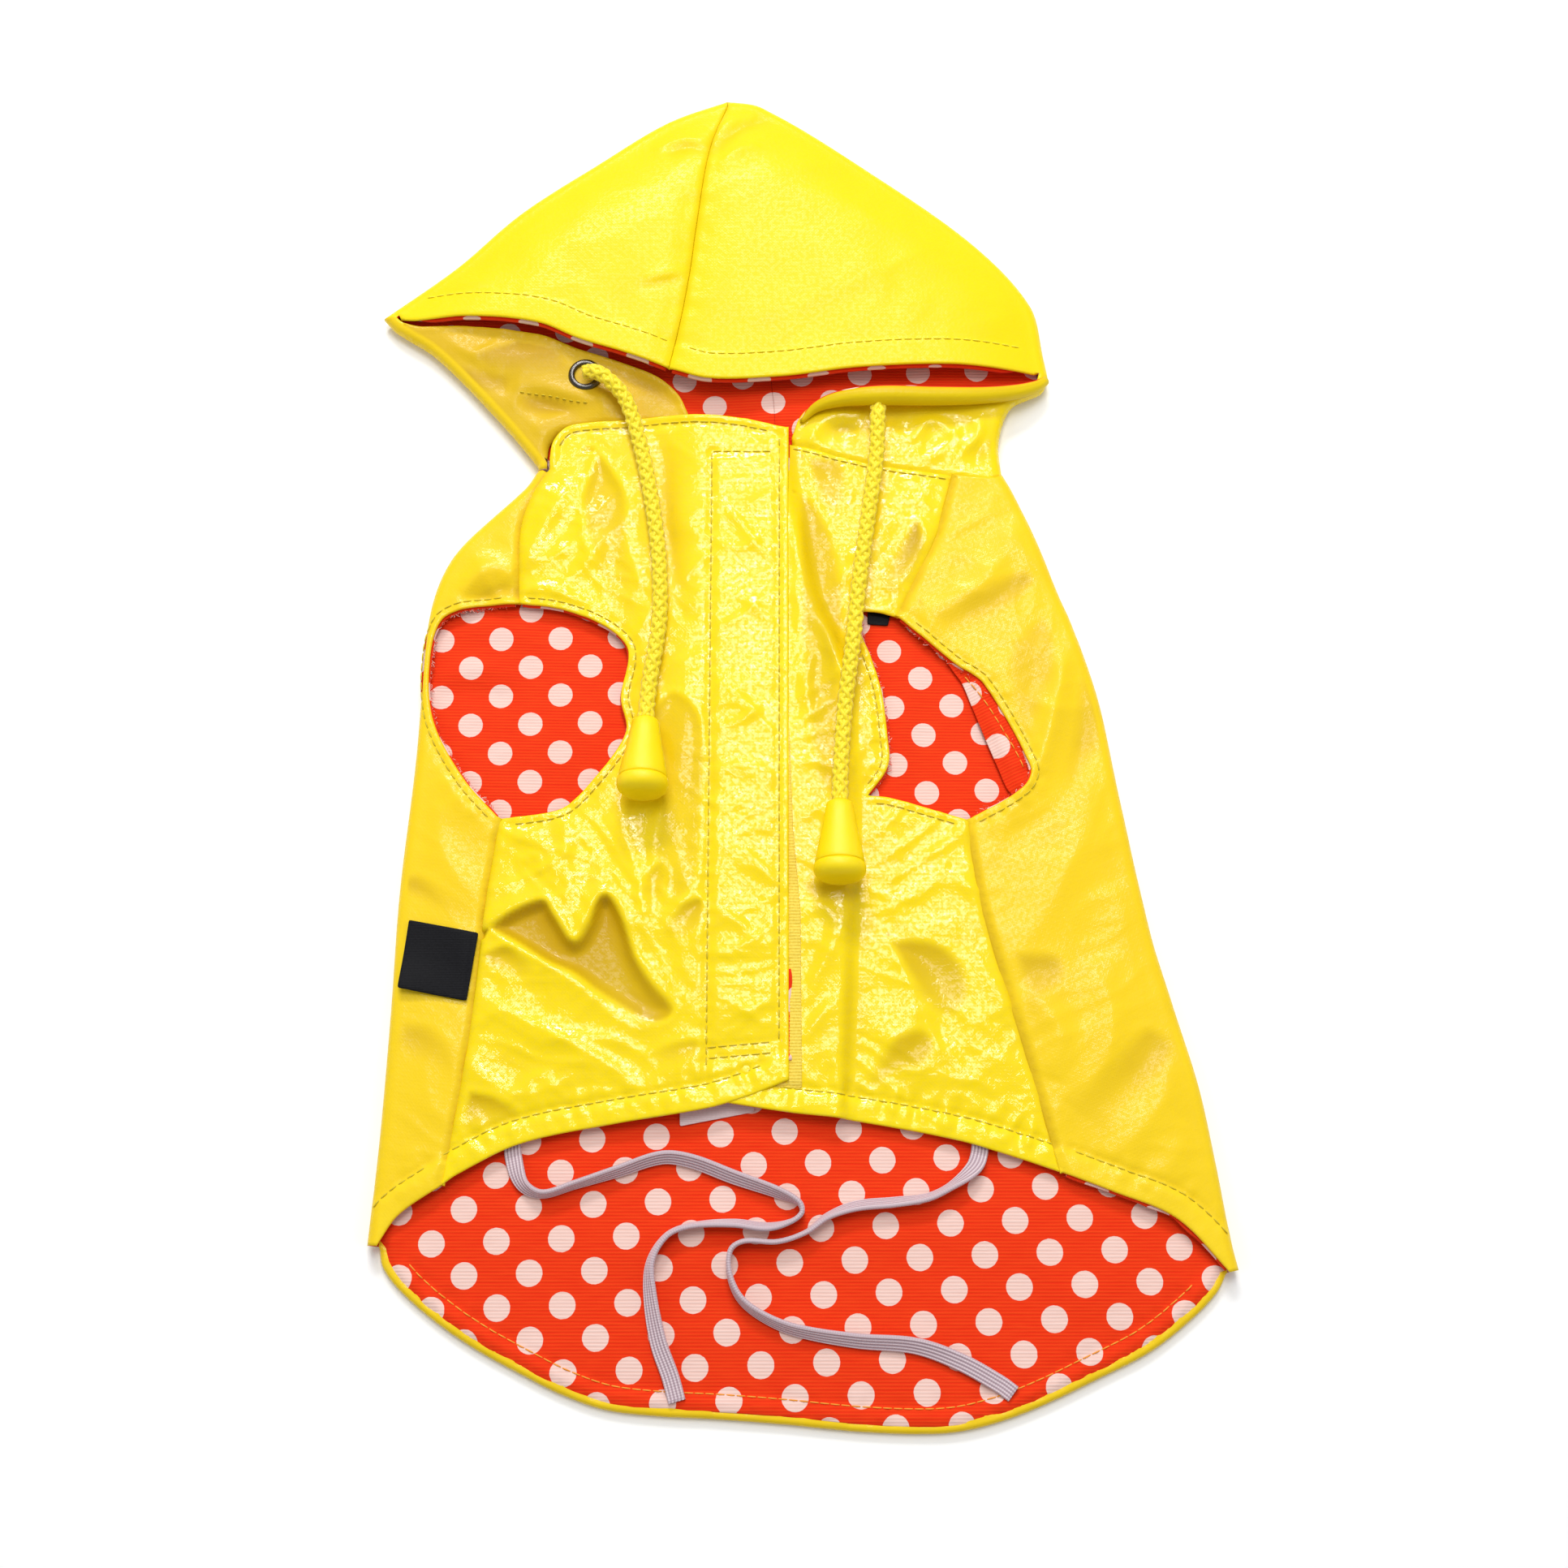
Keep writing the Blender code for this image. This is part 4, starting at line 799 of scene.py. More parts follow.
def seam_near(points, wrap, width):
    """1 on the seams between a wrap and its front, 0 away from them."""
    away = [np.abs(beside(points, wrap[part])[0]) for part in ("shoulder", "side_seam")]
    return np.exp(-(np.minimum(*away) / width) ** 2)


def settling(distance, start, width):
    """Share of a fold's height at a distance from a turned edge: from its start to all of it."""
    return start + (1 - start) * ease(distance / width)


def ground_form(points):
    """The back panel on the table: flat beneath, and doubled along the tail."""
    from_tail = np.abs(beside(points, tail_edge[::2])[0])
    on_rim = ease((TAIL_RIM + TAIL_RIM_END - from_tail) / TAIL_RIM_SLOPE)
    height = WALL + (TAIL_RIM_TOP - WALL) * on_rim
    height += TAIL_RIM_SWELL * noisy(points / TAIL_RIM_PITCH, 6.6) * ease((TAIL_RIM - from_tail) / 2.0)
    return height, height, 0.45


back = Sewing()
wraps = {}
for side, line, edge in ((-1, left_line, left_edge), (1, right_line, right_edge)):
    routes = dict(WRAPS[side], hem=WRAPS[side]["hem"] + (tuple(line[-1]),))
    wrap = wraps[side] = {part: curve_through(route) for part, route in routes.items()}

    def wrap_form(points, side=side, line=line, wrap=wrap):
        """A wrap: it leaves the roll level, dips under the fronts and thickens at its hem."""
        settled = settling(np.abs(beside(points, line)[0]), *WRAP_SETTLING)
        folds = creases(points, WRAP_CREASES)
        sunk, shade = hollows(points, WRAP_HOLLOWS, WRAP_SOFTNESS)
        fine = (crinkles(points, 16.0, side * 1.2, 1.8, 0.5, 21.0 + side)
                + crinkles(points, 8.0, side * 0.4, 2.2, 0.2, 27.0 + side)
                + 0.35 * noisy(points / 15.0, 31.0 + side))
        hem_near = bright_near(points, wrap["hem"], HEM_BAND)
        arm_near = bright_near(points, wrap["armhole"], ARMHOLE_BAND)
        seam = seam_near(points, wrap, WRAP_SEAM_WIDTH)
        rise = (folds - sunk + fine - WRAP_SEAM_DEPTH * seam
                + HEM_FULLNESS * hem_near + ARMHOLE_FULLNESS * arm_near
                + sewn(points, inwards(wrap["hem"], HEM_BAND, side), *HEM_SEWN, 5.0)
                + sewn(points, inwards(wrap["armhole"], ARMHOLE_BAND, -side), *ARMHOLE_SEWN, 6.0))
        doubled = np.maximum(hem_near, ARMHOLE_SHARE * arm_near)
        return (TOP_LAYER + rise * settled, WALL,
                tint_of(np.minimum(folds, 0) - WRAP_SEAM_PAINTED_SHADE * seam, doubled, shade))

    wrap["form"] = wrap_form
    shoulder, side_seam = [inwards(wrap[part], SEAM_TUCK, -side)[::-1]
                           for part in ("shoulder", "side_seam")]
    outline, run = outline_of(line, wrap["hem"][::-1], side_seam, wrap["armhole"][1:-1], shoulder)
    add_cloth(back, outline, wrap_form, open_at=run == 0,
              weave=lambda points, turn=WEAVE_TURN[side]: turned(points, turn))
    add_roll(back, line, edge, wrap_form(line)[0], side)
outline, run = outline_of(left_line, tail_edge[1:-1], right_line[::-1], neck_edge[1:-1])
add_cloth(back, outline, ground_form, GROUND_STEP, open_at=(run == 0) | (run == 2),
          rim=np.where(run == 1, 1.5, 0.6), under=0)
back_cloth = back.make("coated_back", [smooth_and_shaded_polyester, printed_polyester], "coated_cloth", "back")

# ----------
# Fronts: the same coated cloth, lined. The left one carries the placket and lies over the right one,
# which has a low underlap and a soft pleat. Their armholes, hems and edges are turned and topstitched.
UNDERLAP = 5.2
OVERLAP = 7.8
PLACKET_EDGE = 0.8
PLACKET_SEAM = -22.4  # the line where the placket's tape is stitched down
PLACKET_REACH = (-46.4, -24.4)
UNDERLAP_EDGE = -17.0
# Seams of the fronts: width, groove depth, and painted shade that darkens the tint in the groove
FRONT_SEAM_WIDTH, FRONT_SEAM_DEPTH, FRONT_SEAM_PAINTED_SHADE = 0.8, 0.4, 0.8
COLLAR_BAND = 2.4
COLLAR_FULLNESS = 0.5
# Crinkles on both fronts: pitch, stretch, height, step of the seed
FRONT_CRINKLES = ((13.0, 2.0, 0.45, 0), (7.0, 2.4, 0.3, 2), (4.6, 2.0, 0.14, 3))
FRONT_SWELL, FRONT_SWELL_PITCH = 0.3, 17.0
# And on the placket: pitch, turn, stretch, height, seed
PLACKET_CRINKLES = ((6.5, 0.15, 2.6, 0.3, 47.0), (4.0, -0.5, 2.0, 0.14, 49.0))
EDGE_STITCH = 2.8
EDGE_FULLNESS = 0.2
EDGE_SHARE = 0.4  # of a hem's brightness, at the collar and the placket's edge
HOLLOW_CALM = 1.6  # how much of the crinkles a hollow's shade takes away
HEM_CALM = 0.3  # and a hem
PLACKET_SOFTENING = 3.0  # width over which the placket becomes flat
PLACKET_CALM = 0.55  # share of the front's own crinkles that are pressed out of it
CLIMB_CALM = 0.8  # share of the folds that the climb to it takes away
RIGHT_FRONT_SOFTNESS = 1.8
# The right front's pleat: width and painted shade of its flank, and where that painted shade begins and is
# full
CREASE_WIDTH = 4.6
CREASE_SHADE = 0.06
CREASE_SHADED = (-50.0, -90.0)
# Rise of its crest and where that ends; depth of its foot, and height that is added along its crest
CREASE_RISE = 1.3
CREASE_REACH = (20.0, 40.0)
CREASE_FOOT, CREASE_FOOT_AT, CREASE_FOOT_WIDTH = 0.35, -0.4, 2.4
CREASE_CREST, CREASE_CREST_WIDTH = 0.6, 5.0
# Both come and go along it: their middle share, the change of it and its pitch
CREASE_STEADY, CREASE_CHANGE, CREASE_CHANGE_PITCH = 0.6, 0.7, 26.0
UNDERLAP_FOLDS = 0.45  # share of the folds' height that is left under the placket
COLLAR_LEFT = ((-71.6, 79.8), (-70.6, 85.5), (-66, 90.4), (-50, 92.2), (-35, 93.3), (-22.4, 93.2),
    (-11, 91.8), (PLACKET_EDGE, 88.9))
HEM_LEFT = ((-95.4, -137.5), (-91, -134.4), (-74.1, -126.1), (-47.2, -120.5), (-22.4, -116.5),
    (-11, -113.2), (PLACKET_EDGE, -108.5))
ARMHOLE_FRONT_LEFT = ((-79.5, 33.1), (-65.7, 31), (-52.9, 25.5), (-46.7, 18.4), (-48.6, 4.1),
    (-47, -6.8), (-58.4, -23.6), (-66, -30), (-83, -32.8))
COLLAR_RIGHT = ((UNDERLAP_EDGE, 84), (-8, 84.8), (2, 84.6), (5.2, 84), (22.2, 79.3), (33.9, 77),
    (51, 74.4))
HEM_RIGHT = ((UNDERLAP_EDGE, -114.8), (0, -117.4), (18.4, -119.6), (47.7, -125), (63.4, -129.6),
    (76.8, -134))
ARMHOLE_FRONT_RIGHT = (
    ((33.2, 29), (28, 30.4), (22.9, 31)),
    ((22.9, 31), (22.2, 24.9), (25.4, 16), (28.2, 5.9), (29.6, -6), (29.8, -16.6), (23.8, -25.7)),
    ((23.8, -25.7), (30.4, -26.3), (52.7, -32.9)),
)
CREASE = ((2, 84.6), (5.2, 64.3), (11.4, 33.8), (19.5, 18.1), (21, 0), (21.9, -26.3), (20.5, -70),
    (18.4, -119.6))
LEFT_FRONT_HOLLOWS = (
    (0.3, 0.18, 0.4, ((-40.1, -1.2), (-33, 5), (-25.3, -2.5), (-24.1, -25.8), (-25.8, -51.1),
        (-32.2, -57.5), (-38, -43.9), (-36.1, -25.8))),
    (1.9, 0.5, 0.2, ((-84.8, -65), (-78.5, -60.1), (-69.4, -56.8), (-66, -61.5), (-60.3, -68.7),
        (-56.9, -64.6), (-54, -56.6), (-51, -55.2), (-46.9, -61.5), (-42.3, -73.9), (-37.9, -80.5),
        (-31.5, -88.3), (-33.4, -91.5), (-38.6, -92.2), (-46.4, -87.9), (-53.4, -83.5), (-60.5, -78.3),
        (-68.4, -74.7), (-76.4, -69.6))),
    (0.8, 0.32, 0.8, ((-86.8, -72.5), (-80.3, -70.3), (-74.1, -73.9), (-71.4, -77.4), (-75.2, -80.2),
        (-83.1, -77.6))),
    (0.8, 0.34, 0.8, ((-35.9, -66.4), (-29.5, -58.3), (-24.1, -57), (-24, -64.6), (-28.5, -68.7),
        (-34.2, -69))),
    (0.5, 0.2, 0.8, ((-38.8, -101.7), (-32.4, -98.5), (-25.1, -97.4), (-24.2, -100.9), (-29.8, -103.6),
        (-36.7, -104.5))),
    (0.7, 0.36, 0.8, ((-88.6, -111.6), (-81, -113.3), (-74, -118.8), (-81.6, -122.4), (-90.2, -122.8))),
    (0.6, 0.2, 0.8, ((-40.1, -49.8), (-36.7, -46.2), (-34.4, -49.8), (-36.4, -62.4), (-39.1, -62.4),
        (-41.4, -55.2))),
    (0.7, 0.22, 0.8, ((-56.8, 81.3), (-48.8, 68.8), (-47.6, 52.4), (-43.4, 32.1), (-48, 24.1),
        (-55.9, 42.2), (-61.3, 64.7))),
)
LEFT_FRONT_CREASES = (
    (1.6, 7, 3, 0.6, ((-92, -68), (-82.9, -61.2), (-75.5, -57.8), (-69.9, -56.5), (-65.5, -61.5),
        (-61, -68.3), (-57.5, -62.5), (-53.4, -55.3), (-48.6, -56.3), (-45, -65), (-42.5, -73),
        (-38.7, -80.5), (-36, -90))),
    (0.9, 2, 6, 0.4, ((-90, -64), (-82, -68.5), (-68.7, -75.5), (-57.9, -82.6), (-47, -91),
        (-38, -94.5), (-30, -92))),
    (1.2, 2.6, 7, 0.5, ((-90, -82), (-80, -88.5), (-68, -94.4), (-55, -101), (-41, -109), (-34, -112))),
    (0.7, 2, 4, 0.4, ((-70, -98), (-58, -96), (-46, -98), (-36, -104))),
    (0.9, 3, 6, 0.5, ((-93, -100), (-84, -108), (-75, -112.5), (-62, -108), (-56, -102))),
    (1.1, 3.5, 4, 0.6, ((-64, -30), (-63.5, -43), (-62.5, -52), (-61.5, -66))),
    (1.1, 3.5, 4, 0.6, ((-48.5, -26), (-47, -36), (-43, -48), (-40.5, -60), (-39.5, -72))),
    (0.9, 3, 4, 0.6, ((-36, -30), (-31, -44), (-29, -58), (-33, -70))),
    (0.9, 3, 4, 0.5, ((-81, -40), (-74, -38.5), (-68, -44), (-66, -54))),
    (0.7, 2, 3, 0.4, ((-78, -46), (-72, -44), (-70, -50))),
    (1.5, 4, 6, 0.8, ((-79, 43), (-74, 54), (-68, 66), (-62, 75))),
    (1, 3, 4.5, 0.6, ((-73, 42), (-64, 53), (-54, 65), (-47, 74))),
    (0.8, 3, 4, 0.6, ((-64, 41), (-57, 50), (-49, 60), (-42, 66))),
    (0.7, 2.5, 3, 0.5, ((-79, 36.5), (-70, 37.5), (-60, 33), (-54, 30))),
    (1.2, 3, 7, 0.6, ((-44.5, 92), (-43, 74), (-39, 54), (-35, 38), (-32, 22))),
    (-1.6, 5, 5, 1.2, ((-36, 88), (-35, 66), (-33, 44), (-30, 26))),
    (0.8, 2, 3, 0.4, ((-46.5, 18), (-41, 12), (-37, 3), (-38, -4))),
    (0.7, 2, 2.5, 0.4, ((-47, 15), (-40, 19), (-33, 18))),
    (0.7, 2, 2.5, 0.4, ((-46.5, 20), (-42, 27), (-40, 34))),
    (-0.8, 2.5, 3, 0.6, ((-45, -2), (-38, -8), (-32, -20))),
    (0.9, 4, 4, 0.8, ((-30, 20), (-29, 0), (-31, -20), (-27, -34))),
)
PLACKET_CREASES = (
    (0.5, 1.2, 2.6, 0.3, ((-22, 66), (-15, 60), (-7, 49), (-2, 45))),
    (0.5, 1.4, 2.2, 0.3, ((-21, 52), (-13, 50), (-4, 57))),
    (0.4, 1.2, 2, 0.3, ((-21, 38), (-12, 34), (-3, 26))),
    (0.5, 1.4, 2.4, 0.3, ((-22, 24), (-14, 28), (-6, 35), (-1.5, 36))),
    (0.5, 1.3, 2.2, 0.3, ((-22, 10), (-13, 3), (-5, -6), (-1.5, -8))),
    (0.4, 1.2, 2.2, 0.3, ((-20, -6), (-12, -3), (-4, 6))),
    (0.5, 1.4, 2.6, 0.3, ((-22, -20), (-12, -17), (-3, -21))),
    (0.5, 1.3, 2.2, 0.3, ((-22, -41), (-12, -43), (-4, -51), (-1.5, -52))),
    (0.5, 1.3, 2.4, 0.3, ((-22, -58), (-13, -64), (-3, -73))),
    (0.4, 1.2, 2.2, 0.3, ((-21, -72), (-12, -70), (-2, -63))),
    (0.5, 1.2, 2.4, 0.3, ((-22, -84), (-14, -87), (-5, -94))),
    (0.4, 1.2, 2, 0.3, ((-20, -94), (-12, -89), (-2, -86))),
)
RIGHT_FRONT_HOLLOWS = (
    (0.3, 0.22, 0.3, ((4, 68.5), (9.4, 64.3), (14.9, 49.7), (17.5, 30.2), (16.1, 11.2), (17.7, -7.7),
        (16.8, -22.4), (11.9, -26.1), (7.9, -16.8), (5.1, 6.5), (4, 39.9))),
    (0.7, 0.32, 0.4, ((29.6, -68.8), (36.4, -68.1), (43.9, -69.6), (50.3, -75.7), (52, -84.8),
        (46.5, -91.3), (39.1, -86.3), (34.7, -78.7))),
    (0.5, 0.3, 0.4, ((31.5, -95.2), (39, -94.1), (41.9, -98.9), (38.8, -104.2), (31.3, -106.4),
        (26.9, -109.6), (22.9, -110.1), (26.7, -101.4))),
    (0.5, 0.3, 0.8, ((6.2, 80.8), (16.5, 79.6), (18.5, 69.7), (16.4, 56.5), (12.7, 56.9), (8.3, 69.7))),
    (0.7, 0.46, 0.8, ((26.4, 40.2), (32.6, 48.8), (39.3, 59.8), (41.8, 51), (36.6, 39.1), (31.4, 32.7))),
    (0.2, 0.34, 0.8, ((4.8, -52), (7.8, -51.3), (20.7, -54), (20.7, -58.6), (13.1, -58.6), (5.5, -57.5))),
)
RIGHT_FRONT_CREASES = (
    (2.1, 2.6, 6, 0.5, ((9, 30), (12, 35), (19, 44), (26, 53), (33, 59.5), (38.3, 61.5))),
    (2, 6, 2.6, 0.5, ((30, 36), (35.5, 42), (39.5, 50), (40.8, 57), (38.3, 62))),
    (0.8, 2, 3, 0.4, ((24, 70), (30, 64), (37, 67), (44, 66))),
    (0.7, 2.5, 3, 0.5, ((8, 76), (14, 70), (22, 68), (25, 72))),
    (0.8, 2, 2.5, 0.4, ((10.5, 30), (12, 22), (17, 10), (23, 0))),
    (0.9, 3, 5, 0.5, ((25, -28), (31.5, -44), (29, -56), (31, -61), (38.2, -65.4), (46, -63), (56, -59))),
    (0.8, 2.2, 3.5, 0.4, ((47, -35), (45, -42), (44.6, -48.5), (36.3, -54.5), (30.9, -60))),
    (0.7, 2, 3, 0.4, ((44.6, -48), (49, -48.5), (53, -52.4), (58, -58))),
    (1.5, 4, 9, 0.9, ((24, -64), (29, -70), (34, -80), (36, -92), (31, -104))),
    (1.3, 6, 5, 0.8, ((24, -84), (30, -96), (40, -102), (50, -98))),
    (1.1, 3, 4, 0.5, ((52, -70), (57, -78), (61.6, -87.7), (55.5, -91), (60, -98))),
    (0.9, 2.5, 3.5, 0.5, ((30, -112), (38, -108), (50, -109), (58, -104), (64, -101))),
    (0.9, 3, 3, 0.6, ((3, 60), (7, 45), (10, 32), (14, 20), (15, 8))),
    (0.7, 1.6, 2, 0.4, ((4, 22), (7.5, 18.1), (6, 8), (8, -2), (12, 4))),
    (0.8, 2, 2.5, 0.4, ((1, -16.6), (8, -15.8), (15, -17.8), (24, -17))),
    (0.7, 2, 2, 0.4, ((5, -34), (9, -30), (13, -34), (11, -41))),
    (0.7, 2, 3, 0.4, ((6, -88), (10, -76), (17, -64), (20, -55))),
    (0.6, 2, 3, 0.4, ((4, -62), (9, -58), (14, -64), (10, -72))),
    (0.6, 2, 3, 0.4, ((5, -98), (10, -90), (16, -84))),
)
THREAD_RADIUS = 0.21
STITCH_LENGTH = 2.5
STITCH_GAP = 0.5
STITCH_SIDES = 6
# A stitch: shares of its length, and at each its height over the cloth and its share of full thickness
STITCH_SHAPE = np.array(((0.0, 0.12, 0.5, 0.88, 1.0), (-0.15, 0.15, 0.3, 0.15, -0.15),
                         (0.5, 0.9, 1.0, 0.9, 0.5)))


def thread_sockets(finish, dark, pale):
    """Sewing thread: matt twisted polyester in two close tones."""
    fibre = add_node(finish, "TexNoise", {"Scale": 2500.0, "Detail": 1.0})
    hue = add_node(finish, "Mix", {0: fibre, 6: srgb(dark), 7: srgb(pale)}, 2, data_type="RGBA")
    return {"Base Color": hue, "Roughness": 0.6, "IOR": 1.5}


sewing_thread = new_finish("sewing thread, olive yellow", thread_sockets, "C4AC16", "E4CE2E")


def add_stitches(piece, route, form, length=STITCH_LENGTH, gap=STITCH_GAP):
    """A row of stitches along a plan route: each rises out of the cloth and dives back into it."""
    route = np.asarray(route)
    run = runs_of(route)
    count = int(run[-1] / (length + gap))
    if count < 1:
        return
    shares, bulge, thick = STITCH_SHAPE
    at = ((np.arange(count) + 0.1) * (length + gap))[:, None] + shares[None] * length
    plan = np.stack([np.interp(at, run, route[:, k]) for k in range(2)], -1)
    height = form(plan.reshape(-1, 2))[0].reshape(at.shape)
    for k in range(count):
        add_tube(piece, np.column_stack((plan[k], height[k] + bulge)), THREAD_RADIUS * thick, STITCH_SIDES)


def front_crinkles(points, turns, seed):
    """Crinkles of three sizes, each drawn out its own way, over a slow swell."""
    fine = sum(crinkles(points, pitch, turn, stretch, height, seed + step)
               for turn, (pitch, stretch, height, step) in zip(turns, FRONT_CRINKLES))
    return fine + FRONT_SWELL * noisy(points / FRONT_SWELL_PITCH, seed + 4)


def make_front(side, outline, form, stitching):
    """One front and its rows of stitches."""
    piece, threads = Sewing(), Sewing()
    add_cloth(piece, outline, form)
    for route, *_ in stitching:
        add_stitches(threads, route, form)
    front = piece.make("coated_front_" + side, [coated_polyester, printed_polyester], "coated_cloth",
                       "front_" + side)
    return front, threads.make("stitching_front_" + side, [sewing_thread], "coated_cloth")


def left_front_form(points):
    """The overlapping front: it climbs to the placket, which is pressed flat over its tape."""
    span = PLACKET_REACH[1] - PLACKET_REACH[0]
    climb = ease((points[:, 0] - PLACKET_REACH[0]) / span)
    on_placket = ease((points[:, 0] - PLACKET_SEAM) / PLACKET_SOFTENING)
    folds = creases(points, LEFT_FRONT_CREASES) * (1.0 - CLIMB_CALM * climb)
    sunk, shade = hollows(points, LEFT_FRONT_HOLLOWS)
    pressed = creases(points, PLACKET_CREASES) * on_placket
    fine = front_crinkles(points, (0.5, -0.7, 0.2), 41.0)
    fine *= (1 - PLACKET_CALM * on_placket) * (1 - HOLLOW_CALM * shade)
    fine += sum(crinkles(points, *row) for row in PLACKET_CRINKLES) * on_placket
    hem_near = bright_near(points, left_hem, HEM_BAND)
    arm_near = bright_near(points, left_armhole, ARMHOLE_BAND)
    collar_near = bright_near(points, left_collar, COLLAR_BAND)
    edge_near = bright_near(points, left_placket, EDGE_STITCH)
    rise = folds - sunk + pressed + fine * (1 - HEM_CALM * hem_near)
    rise += (HEM_FULLNESS * hem_near + ARMHOLE_FULLNESS * arm_near + COLLAR_FULLNESS * collar_near
             + EDGE_FULLNESS * edge_near)
    rise += sum(sewn(points, *row) for row in left_stitching)
    seam = seam_near(points, wraps[-1], FRONT_SEAM_WIDTH)
    height = TOP_LAYER + (OVERLAP - TOP_LAYER) * climb + rise - FRONT_SEAM_DEPTH * seam
    doubled = np.maximum.reduce((hem_near, ARMHOLE_SHARE * arm_near, EDGE_SHARE * collar_near,
                                 EDGE_SHARE * edge_near))
    return height, WALL, tint_of(np.minimum(folds, 0) - FRONT_SEAM_PAINTED_SHADE * seam, doubled, shade)


left_collar, left_hem, left_armhole = map(curve_through, (COLLAR_LEFT, HEM_LEFT, ARMHOLE_FRONT_LEFT))
left_placket = curve_through((COLLAR_LEFT[-1], HEM_LEFT[-1]))
placket_top, placket_foot = (PLACKET_SEAM, 81.4), (PLACKET_SEAM, -99.4)
# Rows of stitches: route, depth of its groove, height of its puckers, their pitch and reach, seed
left_stitching = (
    (inwards(left_hem, HEM_BAND, 1)[4:-4], 0.55, 0.9, 3.0, 4.5, 51.0),
    (inwards(left_armhole, ARMHOLE_BAND, 1)[2:-2], *ARMHOLE_SEWN, 52.0),
    (inwards(left_collar, COLLAR_BAND, -1)[4:-3], 0.45, 0.35, 3.0, 3.0, 53.0),
    (inwards(left_placket, EDGE_STITCH, -1)[3:-8], 0.35, 0.2, 3.0, 3.0, 54.0),
    (curve_through((placket_top, (PLACKET_SEAM, -107.5))), 0.4, 0.3, 3.0, 4.0, 55.0),
    (curve_through((placket_top, (-2.4, 81.2))), 0.4, 0.2, 3.0, 3.0, 56.0),
    (curve_through((placket_foot, (-2.2, -97.6))), 0.4, 0.2, 3.0, 2.5, 57.0),
    (curve_through(((-22.0, -102.4), (-2.4, -100.7))), 0.4, 0.2, 3.0, 2.5, 58.0),
)
outline, _ = outline_of(left_collar, left_placket, left_hem[::-1], wraps[-1]["side_seam"][::-1],
                        left_armhole[::-1], wraps[-1]["shoulder"][::-1])
front_left, stitching = make_front("left", outline, left_front_form, left_stitching)


def right_front_form(points):
    """The underlapping front: low under the placket, up over a soft pleat, then down to its seam."""
    across = -beside(points, right_crease)[0]
    over = ease(across / CREASE_WIDTH)
    settle = ease((points[:, 0] - CREASE_REACH[0]) / (CREASE_REACH[1] - CREASE_REACH[0]))
    settle_down = ease((CREASE_SHADED[0] - points[:, 1]) / (CREASE_SHADED[0] - CREASE_SHADED[1]))
    base = UNDERLAP + (TOP_LAYER + CREASE_RISE * (1 - settle) - UNDERLAP) * over
    folds = creases(points, RIGHT_FRONT_CREASES)
    sunk, shade = hollows(points, RIGHT_FRONT_HOLLOWS, RIGHT_FRONT_SOFTNESS)
    fine = front_crinkles(points, (0.7, -0.4, 0.3), 61.0) * (1 - HOLLOW_CALM * shade)
    vary = CREASE_STEADY + CREASE_CHANGE * noisy_along(points[:, 1], CREASE_CHANGE_PITCH, 1.7, 66.0)
    foot = CREASE_FOOT * vary * np.exp(-((across - CREASE_FOOT_AT) / CREASE_FOOT_WIDTH) ** 2)
    crest = CREASE_CREST * vary * np.exp(-((across - CREASE_WIDTH) / CREASE_CREST_WIDTH) ** 2)
    hem_near = bright_near(points, right_hem, HEM_BAND)
    arm_near = np.maximum.reduce([bright_near(points, part, ARMHOLE_BAND) for part in right_armhole])
    rise = folds * settling(across, UNDERLAP_FOLDS, CREASE_WIDTH) - sunk
    rise += fine * (1 - HEM_CALM * hem_near) - foot + crest
    rise += HEM_FULLNESS * hem_near + ARMHOLE_FULLNESS * arm_near
    rise += sum(sewn(points, *row) for row in right_stitching)
    seam = seam_near(points, wraps[1], FRONT_SEAM_WIDTH)
    # Painted shade on the pleat's flank, and through its foot a darker tint in the groove at its foot
    shade = np.maximum(shade, CREASE_SHADE * 4 * over * (1 - over) * settle_down)
    tint = tint_of(np.minimum(folds, 0) - FRONT_SEAM_PAINTED_SHADE * seam - foot,
                   np.maximum(hem_near, ARMHOLE_SHARE * arm_near), shade)
    return base + rise - FRONT_SEAM_DEPTH * seam, WALL, tint


right_collar, right_hem, right_crease = map(curve_through, (COLLAR_RIGHT, HEM_RIGHT, CREASE))
right_armhole = [curve_through(part) for part in ARMHOLE_FRONT_RIGHT]
right_underlap = curve_through((COLLAR_RIGHT[0], HEM_RIGHT[0]))
right_stitching = (
    (inwards(right_hem, HEM_BAND, 1)[:-2], 0.55, 1.0, 3.0, 4.5, 71.0),
    (inwards(right_armhole[1], ARMHOLE_BAND, -1)[2:-2], 0.4, 0.6, 1.8, 3.0, 72.0),
    (inwards(right_armhole[2], ARMHOLE_BAND, -1)[2:-2], *ARMHOLE_SEWN, 73.0),
    (inwards(right_collar, 1.4, -1)[18:-1], 0.35, 0.3, 2.6, 3.0, 74.0),
)
outline, _ = outline_of(right_collar, wraps[1]["shoulder"], *right_armhole, wraps[1]["side_seam"],
                        right_hem[::-1], right_underlap[::-1])
front_right, stitching = make_front("right", outline, right_front_form, right_stitching)

# ----------
# Hood: two panels of the coated cloth, joined by one seam over the crown, lined, with a turned and
# topstitched mouth that hides the drawstring. It lies folded shut, its crown puffed up over the mouth.
CHEEK = 5.5
CHEEK_SHADE = {-1: 1.4, 1: 0.0}  # the left cheek lies in the hood's shade
CROWN_PUFF = 6.0
CROWN_PUFF_REACH = 13.0
CROWN_PUFF_SHAPE = 1.3
SEAM_GROOVE = 1.2
SEAM_GROOVE_WIDTH = 6.0
